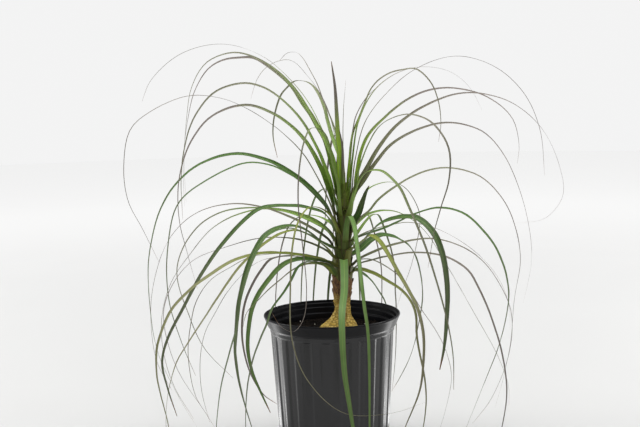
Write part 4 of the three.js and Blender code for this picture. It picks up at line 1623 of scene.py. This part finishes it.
    def grow_tier(self, number: int, tier: Tier, draw: random.Random, rule: RuleSheet) -> None:
        """Makes the blades of one tier.

        Args:
            number: The tier's number, from 1.
            tier: The tier.
            draw: Source of the small differences between leaves.
            rule: The tree that makes the blades.
        """
        points: list[Vector] = []
        rows: list[dict[str, Any]] = []
        for i, leaf in enumerate(tier.leaves):
            course = self.course(leaf, tier)
            colour = self.colour(leaf, number, draw)
            bronze = min(1.0, leaf.look.bronze * draw.uniform(*self.bronze_spread))
            for j, (share, place, cross) in enumerate(course):
                ahead = course[min(j + 1, self.rings)][1] - course[max(j - 1, 0)][1]
                points.append(place * MM)
                rows.append({
                    "leaf": i, "share": share, "half": self.half_width(leaf, share) * MM,
                    "bronze": bronze, "onset": leaf.look.onset, "blade": colour, "crosswise": cross,
                    "facing": ahead.normalized().cross(cross),
                })
        name = f"leaves_{number:02d}"
        piece = new_piece(name, point_mesh(name, points, rows))
        rule.apply(piece)
        settle(piece)
        young = Slot.LEAF if number <= GROWN_TIERS else Slot.YOUNG_LEAF
        slot = Slot.OLD_LEAF if number <= OLD_TIERS else young
        hand_over(piece, slot, f"leaf_tier_{number:02d}")

    def colour(self, leaf: Leaf, number: int, draw: random.Random) -> Vector:
        """Colour of a leaf, a little lighter the younger its tier is, and never quite its neighbour's.

        Args:
            leaf: The leaf.
            number: Its tier's number.
            draw: Source of the small difference.

        Returns:
            The linear red, green and blue.
        """
        age = blend(*self.ages, (number - 1) / (len(TIERS) - 1))
        return Vector(tint(leaf.look.code)[:3]) * age * draw.uniform(*self.colour_spread)

    def clasp(self, material: bpy.types.Material, draw: random.Random) -> None:
        """Makes the bases that wrap the stem below the blades.

        Args:
            material: The blades' material.
            draw: Source of the small differences between bases.
        """
        rows: list[dict[str, Any]] = []
        for number, tier in enumerate(TIERS, 1):
            top = min(blend(tier.low, tier.high, self.collar_rise) + self.clasp_over, self.clasp_top)
            for leaf in tier.leaves:
                low = tier.low - draw.uniform(*self.clasp_drop)
                rows.append({
                    "turn": math.radians(leaf.turn), "foot": low * MM, "rise": (top - low) * MM,
                    "girth": STEM.radius(tier.low) * MM,
                    "half": self.half_width(leaf, self.clasp_share) * self.clasp_slimness * MM,
                    "span": draw.uniform(*self.clasp_span),
                    "flare": (self.collar_reach - self.clasp_inset) * MM,
                    "bronze": self.clasp_bronze, "share": self.clasp_share, "side": -1.0,
                    # The base is painted darker than its blade: painted shade under the blades
                    "blade": self.colour(leaf, number, draw) * self.painted_base_shade,
                })
        points = [Vector((0, 0, row["foot"])) for row in rows]
        piece = new_piece("clasping_bases", point_mesh("clasping_bases", points, rows))
        ScaleRule("clasping_bases", thickness=0.5).build(piece, material)
        hand_over(piece, Slot.LEAF)

    def core_width(self, height: float) -> float:
        """Radius of the green stem, which closes to a point among the youngest leaves."""
        left = (self.core_top - height) / (self.core_top - self.core_shoulder)
        return (STEM.radius(height) - self.core_inset) * min(left, 1.0)

    def lean(self, point: Vector) -> Vector:
        """Moves a point of the upright stem to the stem's leaning middle line."""
        return point + Vector((STEM.x(point.z / MM) * MM, 0, 0))

    def core(self, material: bpy.types.Material) -> None:
        """Makes the green stem inside the bases.

        Args:
            material: The blades' material.
        """
        heights = [blend(STEM.foot, self.core_top, i / self.core_rings) for i in range(self.core_rings + 1)]
        profile = [(0.0, STEM.foot), *[(self.core_width(height), height) for height in heights]]
        mesh = turned("leafy_stem", in_metres(profile), self.core_sides, self.lean)
        green = Vector(tint(Look.DARK.code)[:3])
        for key, value in (("share", self.core_share), ("side", 1.0), ("blade", green)):
            carry(mesh, key, [value] * len(mesh.vertices))
        mesh.materials.append(material)
        piece = new_piece("leafy_stem", mesh)
        settle(piece)
        hand_over(piece, Slot.LEAF)

    def build(self) -> None:
        """Makes all the tiers, the clasping bases and the stem."""
        draw = random.Random(self.seed)
        material = LeafFinish().material()
        rule = self.blade_rule(material)
        for number, tier in enumerate(TIERS, 1):
            self.grow_tier(number, tier, draw, rule)
        self.clasp(material, draw)
        self.core(material)


@dataclass(frozen=True)
class SoftBox:
    """A soft studio light: its name, its place, the point it faces, its size and its power in watts."""

    name: str
    place: tuple[float, float, float]
    aim: tuple[float, float, float]
    size: Pair
    power: float


@dataclass
class Studio:
    """The pale floor, the soft lights and the camera of the photograph.

    The two panels lie just above the floor and shine straight up: the pot's tapered wall mirrors them.
    """

    distance: float = 1400.0
    height: float = 457.0
    offset: float = -11.6
    pitch: float = 6.97
    roll: float = 1.3
    focal_pixels: float = 1179.0
    image_width: int = 640
    sensor: float = 36.0
    clip: Pair = (0.05, 60.0)
    backdrop: float = 0.9
    fill: float = 0.3
    fill_sides: float = 0.5
    floor_radius: float = 5.0
    floor_depth: float = 0.02
    floor_sides: int = 96
    floor_codes: tuple[str, str] = ("babab9", "bdbdbc")
    floor_marks: float = 6.0
    floor_shine: float = 0.2
    glow_near: float = 0.082
    glow_far: float = 0.645
    glow_reach: float = 2.75
    boxes: tuple[SoftBox, ...] = (
        SoftBox("left_box", (-1.5, 0.2, 1.3), (0, 0, 0.2), (0.6, 1.0), 15.0),
        SoftBox("right_box", (1.5, 0.2, 1.3), (0, 0, 0.2), (0.6, 1.0), 15.0),
        SoftBox("top_box", (0.1, 0.1, 1.9), (0, 0, 0.2), (1.4, 1.4), 28.0),
        SoftBox("left_panel", (-0.36, 0.2, 0.006), (0, 0, 60), (0.09, 0.6), 0.42),
        SoftBox("right_panel", (0.36, 0.2, 0.006), (0, 0, 60), (0.09, 0.6), 0.42),
    )

    def camera(self) -> None:
        """Sets the camera where the photograph was taken from."""
        data = bpy.data.cameras.new("photo_camera")
        data.sensor_width = self.sensor
        data.lens = self.sensor * self.focal_pixels / self.image_width
        data.clip_start, data.clip_end = self.clip
        camera = bpy.data.objects.new("photo_camera", data)
        pitch, roll = math.radians(self.pitch), math.radians(self.roll)
        ahead = Vector((0, math.cos(pitch), -math.sin(pitch)))
        up = Vector((0, math.sin(pitch), math.cos(pitch)))
        right = Vector((1, 0, 0))
        axes = (right * math.cos(roll) - up * math.sin(roll), right * math.sin(roll) + up * math.cos(roll),
                -ahead)
        turn = Matrix(axes).transposed().to_4x4()
        spot = Vector((self.offset, -self.distance, self.height)) * MM
        camera.matrix_world = Matrix.Translation(spot) @ turn
        bpy.context.scene.collection.objects.link(camera)
        bpy.context.scene.camera = camera

    def lights(self) -> None:
        """Sets the soft boxes, which the camera doesn't see."""
        for box in self.boxes:
            data = bpy.data.lights.new(box.name, "AREA")
            data.shape = "RECTANGLE"
            data.size, data.size_y = box.size
            data.energy = box.power
            lamp = bpy.data.objects.new(box.name, data)
            lamp.location = box.place
            lamp.rotation_mode = "QUATERNION"
            lamp.rotation_quaternion = (Vector(box.aim) - Vector(box.place)).to_track_quat("-Z", "Y")
            lamp.visible_camera = False
            bpy.context.scene.collection.objects.link(lamp)
        bpy.context.scene.view_settings.view_transform = "Standard"

    def sky(self) -> None:
        """Sets a backdrop that looks pale but lights the plant less, and more from its sides."""
        world = bpy.data.worlds.new("pale_sky")
        world.use_nodes = True
        sheet = NodeSheet(world.node_tree)
        seen = sheet.out("ShaderNodeLightPath", key="Is Camera Ray")
        sideways = sheet.parts(sheet.out("ShaderNodeTexCoord", key="Generated"))[0]
        fill = sideways * sideways * self.fill_sides + self.fill
        ground = world.node_tree.nodes["Background"]
        ground.inputs["Color"].default_value = (1.0, 1.0, 1.0, 1.0)
        sheet.feed(ground.inputs["Strength"], sheet.between(fill, self.backdrop, seen))
        bpy.context.scene.world = world

    def floor(self) -> None:
        """Lays a plain pale floor that glows more the further out it is, so that it meets the backdrop."""
        sheet = FinishSheet("pale_floor", Specular_IOR_Level=self.floor_shine,
                            Emission_Color=(1.0, 1.0, 1.0, 1.0))
        place = sheet.place()
        marks = sheet.noise(place, self.floor_marks, 2.0)
        far = sheet.step(sheet.length(place), 0.0, self.glow_reach)
        glow = sheet.between(self.glow_near, self.glow_far, far)
        sheet.feed(sheet.shader.inputs["Emission Strength"], glow)
        colour = sheet.mixed(marks, *[tint(code) for code in self.floor_codes])
        material = sheet.finish(colour, marks * 0.1 + 0.5, marks, 0.01)
        low, radius = -self.floor_depth, self.floor_radius
        profile = [(0.0, low), (radius, low), (radius, 0.0), (0.0, 0.0)]
        piece = new_piece("floor", turned("floor", profile, self.floor_sides))
        piece.data.materials.append(material)

    def build(self) -> None:
        """Makes camera, lights, sky and floor."""
        self.camera()
        self.lights()
        self.sky()
        self.floor()


def main() -> None:
    """Builds the studio and every part of the palm."""
    logging.basicConfig(level=logging.INFO, format="%(name)s: %(message)s")
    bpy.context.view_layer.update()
    Studio().build()
    Pot().build()
    Soil().build()
    Trunk().build()
    Crown().build()


if __name__ == "__main__":
    main()
